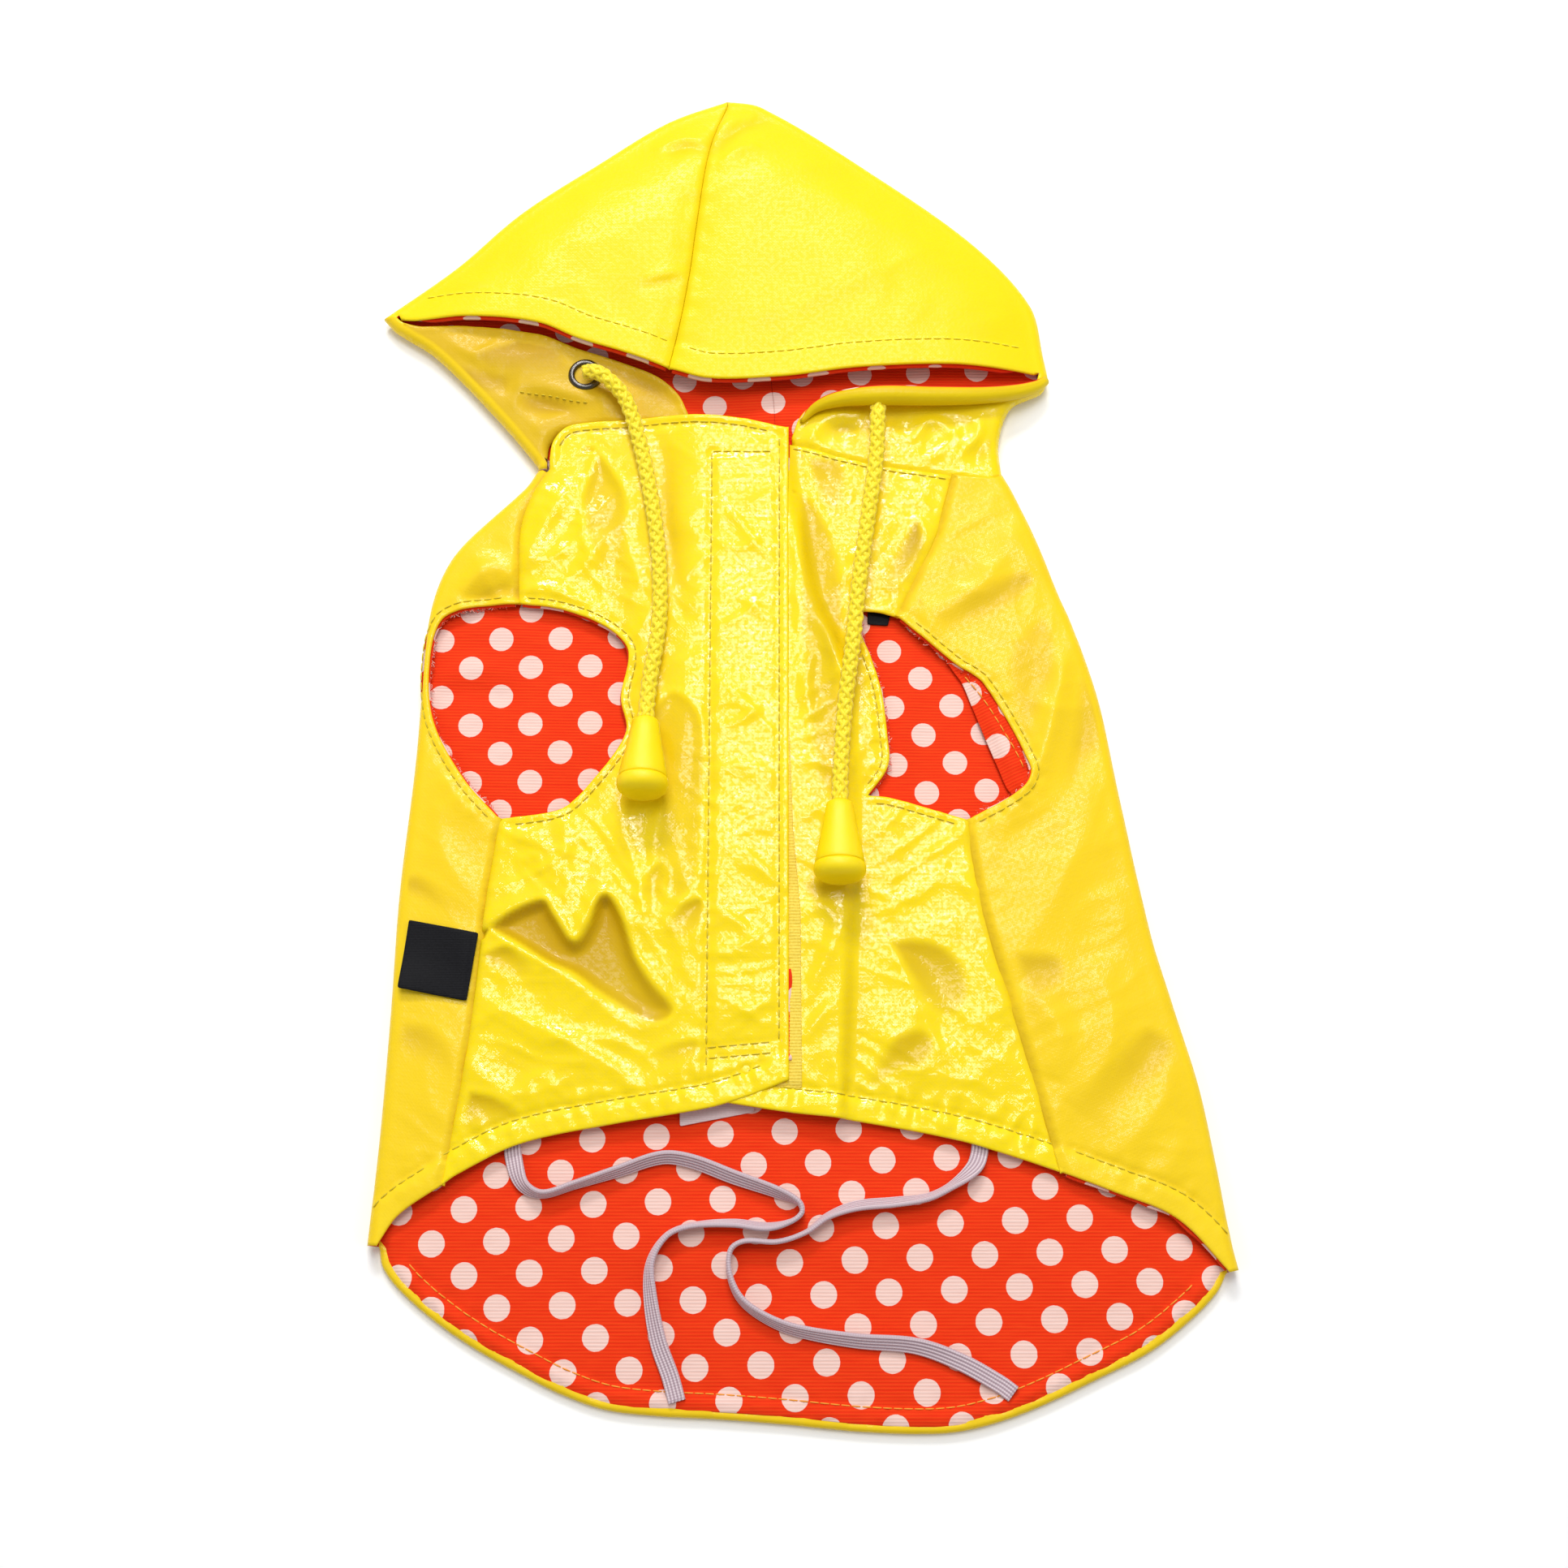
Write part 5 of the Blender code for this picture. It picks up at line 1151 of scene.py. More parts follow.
# The seam itself: its depth, its painted shade (a darker tint in its groove) and its puckers
CROWN_SEAM_DEPTH, CROWN_SEAM_PAINTED_SHADE, CROWN_SEWN = 0.5, 0.7, (0.0, 0.35, 4.0, 5.0)
CROWN_FOLDS = 0.6
CROWN_SWELL, CROWN_SWELL_PITCH = 0.35, 24.0
CROWN_RIPPLE, CROWN_RIPPLE_PITCH = 0.12, 9.0
CROWN_CRINKLES = (12.0, 0.6, 2.0, 0.14, 85.0)
CROWN_SETTLING = (0.4, 6.0)
LIP_BAND = 8.2
LIP_CALM, LIP_FULLNESS, LIP_SHARE = 0.5, 0.25, 0.55  # of the doubled cloth along the mouth
LIP_SEWN = (0.0, 0.12, 4.0, 4.0)
LIP_INSET, LIP_FADE = 0.6, 9.0
FADED_SIZE = 0.12  # share of its size that a section keeps where it fades out
CHEEK_SWELL, CHEEK_SWELL_PITCH = 0.5, 15.0
CHEEK_CRINKLES = ((11.0, 0.2, 2.0, 0.4, 93.0), (6.0, 1.0, 2.0, 0.15, 95.0))
CHEEK_SETTLING, CHEEK_EDGE_SETTLING = (0.4, 5.0), (0.3, 4.0)
CHEEK_SLOPE = 12.0  # width over which it sinks from the roll
LOWER_LIP_RISE, LOWER_LIP_WIDTH = 0.5, 1.6
# Under the collar: width of the tuck, the greatest height in it, its growth and how that curves
COLLAR_TUCK, COLLAR_CEILING, COLLAR_GROWTH, COLLAR_CURVE = 4.5, 4.6, 2.6, 0.7
HOOD_LINING_STEP = 2.2
HOOD_LINING_RISE = 0.5
HOOD_LINING_SWELL, HOOD_LINING_PITCH = 0.5, 14.0
MOUTH_BULGE, MOUTH_BULGE_AT, MOUTH_BULGE_REACH = 2.4, (6.0, 97.0), (16.0, 9.0)
HOOD_SIDES = {
    -1: {
        "name": "left",
        "crown": ((-18.63, 203.4), (-38.2, 195.3), (-60, 180.4), (-83.5, 163.2), (-103.1, 144.1),
            (-124.5, 127.1)),
        "cheek": ((-124.5, 127.1), (-120.6, 123), (-108.2, 114.6), (-89.2, 94.8), (-75.4, 78),
            (-75.3, 76.5)),
        "upper_lip": ((-35.7, 107.4), (-50.5, 112.6), (-62.9, 116.6), (-75.9, 122.3), (-98.1, 125.3),
            (-113.6, 124.9), (-118.6, 125.7)),
        "lower_lip": ((-29.9, 94.9), (-33, 101.2), (-39.3, 106.8), (-50, 111.4), (-63.5, 116),
            (-76, 120.9), (-98, 123.8), (-112, 123.6), (-118.4, 125)),
        "collar": ((-29.3, 92.2), (-50, 91.4), (-66.2, 89.9), (-71.6, 84.9), (-72.4, 79.6)),
        "shoulder": (-40, 77.5),
    },
    1: {
        "name": "right",
        "crown": ((-18.57, 203.4), (-7.3, 201.1), (28.5, 176.6), (58.7, 152.5), (75.8, 131.5),
            (79.4, 113.7), (80.5, 107.4)),
        "cheek": ((80.5, 107.4), (78.6, 102.6), (69, 97.4), (64.9, 86), (65.4, 75.6), (65.9, 74.4)),
        "upper_lip": ((-35.7, 107.4), (-23.8, 103.6), (-1.6, 104.1), (21.9, 107.2), (49.6, 108.4),
            (68, 107.6), (75.9, 107.2)),
        "lower_lip": ((1.7, 86.9), (4.1, 93.4), (8, 97.9), (15.2, 101.6), (28, 103.8), (49.5, 101.4),
            (70, 101.4)),
        "collar": ((1.9, 84.2), (22, 78.4), (33.6, 76.1), (50.8, 73.6)),
        "shoulder": (35, 76.7),
    },
}
CENTRE_SEAM = ((-18.6, 200.4), (-23.8, 183.7), (-27.9, 155), (-29.7, 139.3), (-32.5, 122.3),
    (-35.7, 107.4))
UNDER_SEAM = ((-18.6, 200.4), (-11.0, 150.0), (-4.0, 101.0), (-3.0, 77.9))
CROWN_CREASES = (
    (-0.9, 1.4, 3, 0.5, ((-46, 134), (-38, 136), (-30.5, 137.8))),
    (0.8, 2.5, 1.6, 0.5, ((-44, 136.5), (-37, 138.5), (-30.5, 140.5))),
    (-1.4, 1.8, 3, 0.5, ((-38, 182), (-31, 184.5), (-24.5, 182.5))),
    (1.2, 2.6, 2, 0.5, ((-42, 184), (-33, 187), (-25, 186))),
    (-1.6, 3.5, 2.6, 0.6, ((-24.5, 180), (-19, 187), (-12, 192.5), (-4, 196))),
    (1.2, 3, 2.5, 0.6, ((-22, 190), (-16, 195), (-10, 198))),
    (0.9, 2, 2.5, 0.5, ((-22, 176), (-15, 182), (-8, 185))),
    (0.7, 14, 3.5, 0.8, ((-14, 122), (-1, 126), (14, 132), (30, 141), (44, 148), (60, 150))),
    (0.5, 3.5, 12, 0.8, ((-15, 122), (-16, 140), (-14.5, 155), (-11, 168), (-3, 178))),
    (0.5, 5, 6, 1, ((-6, 170), (14, 166), (32, 156), (46, 151))),
    (0.5, 3, 4, 0.8, ((-112, 131), (-102, 137), (-92, 136))),
)
CHEEK_HOLLOWS = (
    (0.7, 0.25, 0.8, ((-82.7, 118.7), (-70.4, 115.3), (-67.2, 108.7), (-77.8, 107), (-90, 108.7),
        (-94.8, 113.7))),
)
CHEEK_CREASES = (
    (1.3, 5, 6, 0.9, ((-112, 117), (-98, 114.5), (-84, 113), (-70, 114))),
    (-1.2, 5, 6, 1.2, ((-104, 110), (-93, 106), (-82, 104))),
    (1.4, 3.5, 5, 0.7, ((-86, 104), (-76, 103.5), (-66, 101), (-58, 99.5), (-51, 101.5), (-46, 98))),
    (-2, 4, 4, 1, ((-82, 100), (-72, 97.5), (-63, 95.5), (-56, 97))),
    (1.2, 4, 4, 0.8, ((-78, 86), (-72.5, 92), (-66, 95), (-58, 95.5), (-50, 98))),
    (0.9, 5, 5, 1.2, ((-100, 103), (-88, 96), (-80, 88))),
    (-0.9, 3.5, 3, 0.8, ((-50, 107.5), (-40, 102), (-33, 97))),
    (1.2, 3, 5, 0.6, ((6, 84.5), (10, 90), (16, 94), (24, 94))),
    (-1.2, 3, 3, 0.8, ((9, 87), (16, 90), (22, 89))),
    (0.8, 2, 2.5, 0.4, ((30, 91), (37, 86), (44, 92), (51, 88), (55, 81))),
    (0.8, 2, 2.5, 0.4, ((36, 82), (43, 80), (49, 84), (54, 92))),
    (1.2, 3, 4, 0.7, ((69, 96), (62, 90), (56, 84), (50, 78))),
    (-1, 3, 3.5, 0.8, ((66, 88), (60, 83), (56, 78))),
)
LIP_SECTION = ((-3.2, -1.3), (0.2, -1.35), (0.75, -1.6), (1, -2.1), (0.95, -2.7), (0.5, -3.15),
    (-3.2, -3))
# The turned mouth edge below the opening: x, y, z of its middle and its half-thickness
LOWER_LIP_ROLL = ((4.6, 91.6, 6.4, 0.7), (9, 95.6, 7.8, 1.6), (16, 97.6, 9.4, 2.4), (28, 98.2, 10.8, 3),
    (45, 98.4, 10, 2.9), (60, 99.2, 8.8, 2.6), (70, 101, 7.2, 2.3), (76.5, 103.6, 5.4, 1.9),
    (79.6, 106.2, 4.2, 1.4))
LIP_ROLL_SIDES = 20
LIP_ROLL_LINED = (0.30, 0.62)  # the part of the turn that the lining covers

hood_thread = new_finish("sewing thread, yellow", thread_sockets, "F4E024", "FFF23C")
coated_hood = new_finish("film-coated polyester, hood", film_sockets,
                         "D4B00C", "F3D80E", "F9E41A", 0.00007, 0.00003, 0.3, 0.24)


def add_caps(piece, rings, way=1, finish=0):
    """Flat caps over the first and the last ring of a closed section."""
    for ring, order in ((rings[0], -way), (rings[-1], way)):
        fan = [(0, k, k + 1)[::order] for k in range(1, len(ring) - 1)]
        piece.add(ring, fan, finish)


def add_section(piece, line, outward, heights, section, finish=0, flip=False, fade=0.0):
    """A closed section swept along a plan line, outwards from it and up or down from its height.

    It shrinks towards the far end of the line over the length fade.
    """
    section = np.array(section)
    run = runs_of(line)
    size = FADED_SIZE + (1 - FADED_SIZE) * (ease((run[-1] - run) / fade) if fade else np.ones(len(line)))
    rings = np.concatenate((line[:, None] + outward[:, None] * section[None, :, :1] * size[:, None, None],
                            (heights[:, None] + section[None, :, 1] * size[:, None])[..., None]), 2)
    weave = np.stack(np.broadcast_arrays(runs_of(line)[:, None], section[None, :, 0] * 2.2
                                         + section[None, :, 1]), -1)
    way = 1 if flip else -1
    piece.add(rings, grid_triangles(len(line), len(section), ring=True)[:, ::way], finish, weave)
    add_caps(piece, rings, way, finish)


cheek_forms = {}
for side, shape in HOOD_SIDES.items():
    piece, threads = Sewing(), Sewing()
    seam, under_seam = curve_through(CENTRE_SEAM), curve_through(UNDER_SEAM)
    crown_edge, cheek_edge, upper_lip, lower_lip, collar = [
        curve_through(shape[part]) for part in ("crown", "cheek", "upper_lip", "lower_lip", "collar")]
    whole_edge = np.vstack((crown_edge, cheek_edge[1:]))
    whole_line = inwards(whole_edge, ROLL_RADIUS, -side)
    whole_line[0] = (whole_edge[0, 0], whole_edge[0, 1] - ROLL_RADIUS)
    corner = len(crown_edge) - 1
    crown_rows = int(np.linalg.norm(whole_line[:corner + 1] - upper_lip[-1], axis=1).argmin())
    cheek_rows = corner + int(np.linalg.norm(whole_line[corner:] - lower_lip[-1], axis=1).argmin())
    crown_line, cheek_line = whole_line[:crown_rows + 1], whole_line[cheek_rows:]
    lip_stitches = inwards(upper_lip, LIP_BAND, side)

    def crown_form(points, crown_line=crown_line, seam=seam, upper_lip=upper_lip, side=side,
                   lip_stitches=lip_stitches):
        """The crown: puffed up inside its rolled edge, with a groove along the centre seam."""
        from_fold = np.abs(beside(points, crown_line)[0])
        from_seam = np.abs(beside(points, seam)[0])
        inside = 1.0 - np.exp(-(from_fold / CROWN_PUFF_REACH) ** CROWN_PUFF_SHAPE)
        puff = (CROWN_PUFF - SEAM_GROOVE * np.exp(-(from_seam / SEAM_GROOVE_WIDTH) ** 2)) * inside
        folds = CROWN_FOLDS * creases(points, CROWN_CREASES)
        lip_near = bright_near(points, upper_lip, LIP_BAND)
        fine = (CROWN_SWELL * noisy(points / CROWN_SWELL_PITCH, 81.0 + side)
                + CROWN_RIPPLE * noisy(points / CROWN_RIPPLE_PITCH, 83.0)
                + crinkles(points, *CROWN_CRINKLES))
        valley = np.exp(-from_seam**2)
        rise = (folds + fine * (1 - LIP_CALM * lip_near) + LIP_FULLNESS * lip_near
                - CROWN_SEAM_DEPTH * valley + sewn(points, seam, *CROWN_SEWN, 86.0))
        rise += sewn(points, lip_stitches, *LIP_SEWN, 87.0)
        return (TOP_LAYER + puff + rise * settling(from_fold, *CROWN_SETTLING), WALL,
                tint_of(np.minimum(folds, 0) - CROWN_SEAM_PAINTED_SHADE * valley, LIP_SHARE * lip_near))

    def cheek_form(points, cheek_line=cheek_line, lower_lip=lower_lip, collar=collar, side=side):
        """The hood below its mouth, sunk a little inside the roll."""
        from_fold = np.abs(beside(points, cheek_line)[0])
        folds = creases(points, CHEEK_CREASES)
        sunk, shade = hollows(points, CHEEK_HOLLOWS)
        fine = sum((crinkles(points, *row) for row in CHEEK_CRINKLES),
                   CHEEK_SWELL * noisy(points / CHEEK_SWELL_PITCH, 91.0 + side))
        rise = (folds - sunk + fine) * settling(from_fold, *CHEEK_SETTLING)
        lip = LOWER_LIP_RISE * bright_near(points, lower_lip, LOWER_LIP_WIDTH) if side < 0 else 0.0
        tucked = ease(1 - np.abs(beside(points, collar)[0]) / COLLAR_TUCK)
        base = TOP_LAYER + (CHEEK - TOP_LAYER) * ease(from_fold / CHEEK_SLOPE)
        top = base + rise
        ceiling = COLLAR_CEILING + COLLAR_GROWTH * (1 - tucked) ** COLLAR_CURVE
        top = np.minimum(top, ceiling) * tucked + top * (1 - tucked)
        return (base + (top - base + lip) * settling(from_fold, *CHEEK_EDGE_SETTLING), WALL,
                tint_of(np.minimum(folds, 0) - CHEEK_SHADE[side], 0.0, shade))

    cheek_forms[side] = cheek_form
    outline, run = outline_of(seam[1:], upper_lip[1:], crown_line[::-1])
    add_cloth(piece, outline, crown_form, open_at=run == 2, rim=np.where(run == 0, 0.3, 0.6))
    outline, run = outline_of(lower_lip, cheek_line, collar[::-1])
    add_cloth(piece, outline, cheek_form, open_at=run == 1, face=2, rim_finish=2)
    tops = np.full(len(whole_line), np.nan)
    tops[:crown_rows + 1] = crown_form(crown_line)[0]
    tops[cheek_rows:] = cheek_form(cheek_line)[0]
    known = np.flatnonzero(~np.isnan(tops))
    tops = np.interp(np.arange(len(tops)), known, tops[known])
    add_roll(piece, whole_line, whole_edge, tops, side, free=(crown_rows, cheek_rows),
             finish=np.where(np.arange(len(whole_line) - 1) < corner, 0, 2))
    shoulder_edge = curve_through((whole_line[-1], shape["shoulder"], under_seam[-1]))
    outline, run = outline_of(whole_line, shoulder_edge[1:-1], under_seam[::-1])
    add_cloth(piece, outline, lambda points: (np.full(len(points), WALL), WALL, 0.45), GROUND_STEP,
              open_at=run == 0, rim=0.3, under=0)

    lip_inner = inwards(upper_lip, LIP_INSET, side)[1:-2]
    lip_outward = -np.gradient(lip_inner, axis=0)[:, ::-1] * (side, -side)
    lip_outward /= np.linalg.norm(lip_outward, axis=1)[:, None]
    add_section(piece, lip_inner, -lip_outward, crown_form(lip_inner)[0], LIP_SECTION, finish=1,
                flip=side < 0, fade=LIP_FADE)
    add_stitches(threads, lip_stitches[3:-4], crown_form)
    if side > 0:
        rolled = curve_through(LOWER_LIP_ROLL)
        _, across, up = square_to(rolled[:, :3])
        turn = np.arange(LIP_ROLL_SIDES) / LIP_ROLL_SIDES
        rings = rolled[:, None, :3] + (
            across[:, None] * np.cos(turn * 2 * math.pi)[None, :, None]
            + up[:, None] * np.sin(turn * 2 * math.pi)[None, :, None] * 1.15) * rolled[:, None, 3:]
        weave = np.stack(np.broadcast_arrays(runs_of(rolled[:, :3])[:, None], turn[None] * 18.0), -1)
        lined = (turn > LIP_ROLL_LINED[0]) & (turn < LIP_ROLL_LINED[1])
        triangles = grid_triangles(len(rolled), LIP_ROLL_SIDES, ring=True)
        # Painted shade: the rolled lip is tinted darker than plain cloth, and darker still on its underside
        # and back
        piece.add(rings, triangles, np.where(lined[triangles[:, 0] % LIP_ROLL_SIDES], 1, 0), weave,
                  np.tile(np.where(turn < 0.25, 0.3, 0.15), len(rolled)))
        add_caps(piece, rings)
    # The left cheek takes the duller, darker stretched-smooth finish as painted shade, for the hood's shade
    # over it
    cheek_cloth = smooth_and_shaded_polyester if side < 0 else coated_polyester
    hood_cloth = piece.make("coated_hood_" + shape["name"], [coated_hood, printed_polyester, cheek_cloth],
                            "hood_cloth", "hood_" + shape["name"])
    stitching = threads.make("stitching_hood_" + shape["name"], [hood_thread], "hood_cloth")

    lining_piece = Sewing()
    lining_line = whole_line[3:]

    def hood_lining_form(points, side=side):
        """The hood's lining: a slow swell, and a bulge that shows in the mouth."""
        bulge = MOUTH_BULGE * np.exp(-(((points - MOUTH_BULGE_AT) / MOUTH_BULGE_REACH) ** 2).sum(1))
        swell = HOOD_LINING_SWELL * noisy(points / HOOD_LINING_PITCH, 101.0 + side)
        height = LINING_TOP + swell + HOOD_LINING_RISE + bulge
        return np.maximum(height, WALL + 2 * LINING_GAP), LINING_WALL, 0.5

    outline, _ = outline_of(lining_line, shoulder_edge[1:-1], under_seam[::-1][:-4])
    add_cloth(lining_piece, outline, hood_lining_form, HOOD_LINING_STEP, rim=0.3, under=0)
    lining = lining_piece.make("lining_of_hood_" + shape["name"], [printed_polyester], "dotted_lining",
                               "hood_lining_" + shape["name"])

# ----------
# Eyelets: two dark plated brass rings pressed into the hood below its mouth, where the drawstring
# comes out. Each is one rolled ring with a flat foot.
EYELETS = {-1: ("left", (-61.5, 107.3)), 1: ("right", (28.0, 97.6))}
EYELET_BASE = 4.0  # of the right one, which the rolled hem hides
EYELET_PROFILE = ((3.2, -0.6), (3.15, 0.5), (3.3, 0.95), (3.6, 1.22), (4, 1.3), (4.4, 1.25), (4.8, 1),
    (5.1, 0.55), (5.2, 0.1), (5.15, -0.3), (4.2, -0.6))
EYELET_SIDES = 72


def gunmetal_sockets(finish):
    """Black-nickel plating: a dark mirror, a little uneven from polishing."""
    polish = add_node(finish, "TexNoise", {"Scale": 900.0, "Detail": 3.0})
    return {"Base Color": srgb("6E6A66"), "Metallic": 1.0,
            "Roughness": add_node(finish, "MapRange", {0: polish, 3: 0.18, 4: 0.34}),
            "Normal": add_node(finish, "Bump", {"Height": polish, "Distance": 0.00002})}


plated_brass = new_finish("plated brass, black nickel", gunmetal_sockets)
for side, (name, place) in EYELETS.items():
    turn = np.arange(EYELET_SIDES) * 2 * math.pi / EYELET_SIDES
    ring = np.stack((np.cos(turn), np.sin(turn)), 1)
    base = cheek_forms[side](np.array((place,)))[0][0] if side < 0 else EYELET_BASE
    rings = [np.column_stack((np.array(place) + ring * radius, np.full(EYELET_SIDES, base + height)))
             for radius, height in EYELET_PROFILE + EYELET_PROFILE[:1]]
    eyelet = Sewing()
    eyelet.add(np.array(rings), grid_triangles(len(rings), EYELET_SIDES, ring=True))
    eyelet.make("pressed_eyelet_" + name, [plated_brass], "plated_brass", "eyelet_" + name)

# ----------
# Leg loops: two knitted elastic bands sewn under the front's hem and let go over the lining. Each
# lies flat at its ends and stands on its edge between them.
BAND_WIDTH = 4.8
BAND_WALL = 1.1
BAND_BASE = 2.75
BAND_RIBS = 5
RIB_RISE = 0.13
BAND_STEP = 0.9
BAND_POINTS = 24  # along each face of a band's section
ELASTICS = {
    "left": ((-77, -121, 0), (-75.9, -130.1, 5), (-73, -137.2, 45), (-67.5, -139.7, 75),
        (-58.8, -137.2, 75), (-46.9, -133.5, 60), (-34.7, -129.7, 50), (-26.6, -130.6, 45),
        (-14.6, -135, 45), (-2.4, -139.2, 60), (3.6, -142, 85), (4.4, -144.6, 90), (1.6, -147, 85),
        (-5, -148.6, 70), (-14.5, -147.6, 70), (-26.4, -148.3, 80), (-32.9, -150.9, 80),
        (-37.2, -157.7, 70), (-37.3, -166.5, 45), (-34.9, -179.3, 20), (-31.5, -188.5, 5),
        (-29.6, -195, 0)),
    "right": ((54.6, -119, 0), (53.9, -128.4, 0), (52, -132.6, 30), (45.8, -137.5, 70),
        (39.2, -140.6, 70), (30, -141.9, 60), (19.2, -143, 60), (11.4, -145.8, 75), (5.6, -150, 85),
        (-2.4, -152.6, 85), (-11.4, -152.4, 85), (-15.2, -154.7, 90), (-15.6, -161, 85),
        (-12.6, -167.8, 75), (-6, -172.8, 65), (3, -176.3, 55), (18.9, -179, 40), (35.3, -180.4, 30),
        (47.4, -184.6, 15), (58, -190.4, 5), (61.6, -193, 0)),
}


def elastic_sockets(finish):
    """Knitted elastic: a soft satin, finely looped; its tint is painted light, a painted highlight on the
    ribs' tops and painted shade between them.
    """
    tint = add_node(finish, "Attribute", output="Fac", attribute_name="tint")
    hue = add_node(finish, "Mix", {0: tint, 6: srgb("9A7E8A"), 7: srgb("E6D4DA")}, 2, data_type="RGBA")
    loops = waves(finish, across_and_along(finish)[0], 0.7)
    return {"Base Color": hue, "Roughness": 0.5, "Sheen Weight": 0.2, "IOR": 1.5,
            "Normal": add_node(finish, "Bump", {"Height": loops, "Distance": 0.00003})}


knitted_elastic = new_finish("knitted elastic, mauve grey", elastic_sockets)
share = np.linspace(-1.0, 1.0, BAND_POINTS)
ribs = np.cos(share * BAND_RIBS * math.pi) * RIB_RISE * (np.abs(share) < 0.95)
edge_round = np.sqrt(1 - (np.clip(np.abs(share) - 0.8, 0, 1) / 0.2) ** 2 * 0.75)
face = np.stack((share * BAND_WIDTH / 2, (BAND_WALL / 2) * edge_round + np.maximum(ribs, -0.06)), 1)
BAND_SECTION = np.vstack((face, face[::-1] * (1, -1)))
# Painted light on the band: a painted highlight on the ribs' tops and painted shade between them
BAND_RIB_HIGHLIGHT_AND_SHADE = np.concatenate([0.5 + ribs / RIB_RISE * 0.45] * 2)
for name, table in ELASTICS.items():
    route = curve_through([(x, y, 0.1 * turn) for x, y, turn in table], BAND_STEP)
    turn = np.radians(10.0 * route[:, 2])[:, None]
    along = np.gradient(route[:, :2], axis=0)
    side = np.column_stack((-along[:, 1], along[:, 0])) / np.linalg.norm(along, axis=1)[:, None]
    side = np.column_stack((side, np.zeros(len(side))))
    level_up = np.array((0.0, 0.0, 1.0))
    wide = side * np.cos(turn) + level_up * np.sin(turn)
    thin = side * -np.sin(turn) + level_up * np.cos(turn)
    under = np.max([lining_form(route[:, :2] + side[:, :2] * reach)[0] for reach in (-2.2, 0.0, 2.2)], 0)
    under = np.convolve(np.pad(under, 8, mode="edge"), np.full(17, 1 / 17), "valid")
    half_up = BAND_WIDTH / 2 * np.abs(wide[:, 2]) + BAND_WALL / 2 * np.abs(thin[:, 2])
    centre = np.column_stack((route[:, :2], np.maximum(under, BAND_BASE) + half_up))
    rings = (centre[:, None] + wide[:, None] * BAND_SECTION[None, :, :1]
             + thin[:, None] * BAND_SECTION[None, :, 1:])
    weave = np.stack(np.broadcast_arrays(runs_of(centre)[:, None], BAND_SECTION[None, :, 0]), -1)
    band = Sewing()
    band.add(rings, grid_triangles(len(rings), len(BAND_SECTION), ring=True), 0, weave,
             np.tile(BAND_RIB_HIGHLIGHT_AND_SHADE, len(rings)))
    add_caps(band, rings)
    elastic = band.make("knitted_elastic_" + name, [knitted_elastic], "elastic_knit", "elastic_" + name)

# ----------
# Small sewn-in pieces: a satin tab caught in the left side seam, a care label under the hem, a satin
# label by the right armhole and the hook tape of the closing.
SIDE_TAB = ((-87.6, -66.6), (-107.6, -62.8), (-109.7, -82.6), (-90.3, -86.1))
TAB_LIFT = 1.6  # of the tab's loose lower corner
TAB_LIFT_REACH = 7.0
TAB_RISE, TAB_WALL = 1.25, 0.45  # its top over the cloth beneath, and its thickness
LABEL_LOWEST, LABEL_RISE, LABEL_WALL = 2.6, 0.55, 0.4
LABEL_CURL, LABEL_CURL_PITCH = 0.25, 9.0
TAPE_RISE, TAPE_LOWEST, TAPE_WALL = 0.4, 5.6, 0.5
TAPE_GAP = 0.15  # between it and the placket over it
TAPE_CEILING = 9.0  # no limit where the placket doesn't cover it
TAPE_COVER_PAST, TAPE_COVER_SLOPE = 0.6, 1.2  # where that cover ends past the placket's edge
CORNER_ROUNDING = 0.6
CARE_LABEL = ((-9.0, -108.0), (-30.0, -106.5), (-29.8, -120.9), (-9.0, -116.9))
INNER_LABEL = ((32.0, 35.0), (24.6, 36.0), (24.2, 27.6), (30.4, 27.2))
HOOK_TAPE = ((0.4, 10), (-13.5, 10), (-13.5, -110), (4.4, -110.8), (4.1, -60), (2, -36))
SMALL_STEP = 0.8


def ribbed_sockets(finish, dark, pale, pitch, rough, depth, sheen=0.15):
    """What a narrow woven or ribbed piece needs: two tones in fine ribs across it."""
    place = add_node(finish, "UVMap", uv_map="weave")
    rib = waves(finish, across_and_along(finish)[1], pitch)
    uneven = add_node(finish, "TexNoise", {"Vector": place, "Scale": 1.6, "Detail": 3.0})
    level = add_node(finish, "Math", {0: rib, 1: 0.25, 2: uneven}, operation="MULTIPLY_ADD")
    hue = add_node(finish, "Mix", {0: level, 6: srgb(dark), 7: srgb(pale)}, 2, data_type="RGBA")
    return {"Base Color": hue, "Roughness": rough, "Sheen Weight": sheen, "IOR": 1.5,
            "Specular IOR Level": 0.12,
            "Normal": add_node(finish, "Bump", {"Height": level, "Distance": depth})}


black_satin = new_finish("woven satin, black", ribbed_sockets, "08080A", "1C1C20", 0.5, 0.6, 0.00005, 0.0)
label_ribbon = new_finish("woven ribbon, pale pink", ribbed_sockets, "D6BEC0", "EBDADB", 0.6, 0.6,
                          0.00003)
hook_tape = new_finish("hook tape, pale yellow", ribbed_sockets, "DCB62C", "FFE768", 0.9, 0.65, 0.0001)


def flat_outline(corners, rounding):
    """A flat piece's outline with slightly rounded corners."""
    corners = np.array(corners, float)
    points = []
    for k, corner in enumerate(corners):
        before, after = corners[k - 1] - corner, corners[(k + 1) % len(corners)] - corner
        start = corner + before / np.linalg.norm(before) * rounding
        end = corner + after / np.linalg.norm(after) * rounding
        points += [start, (start + 2 * corner + end) / 4, end]
        far = corners[(k + 1) % len(corners)] - after / np.linalg.norm(after) * rounding
        steps = max(2, int(np.linalg.norm(far - end) / SMALL_STEP))
        points += [end + (far - end) * step / steps for step in range(1, steps)]
    return np.array(points)


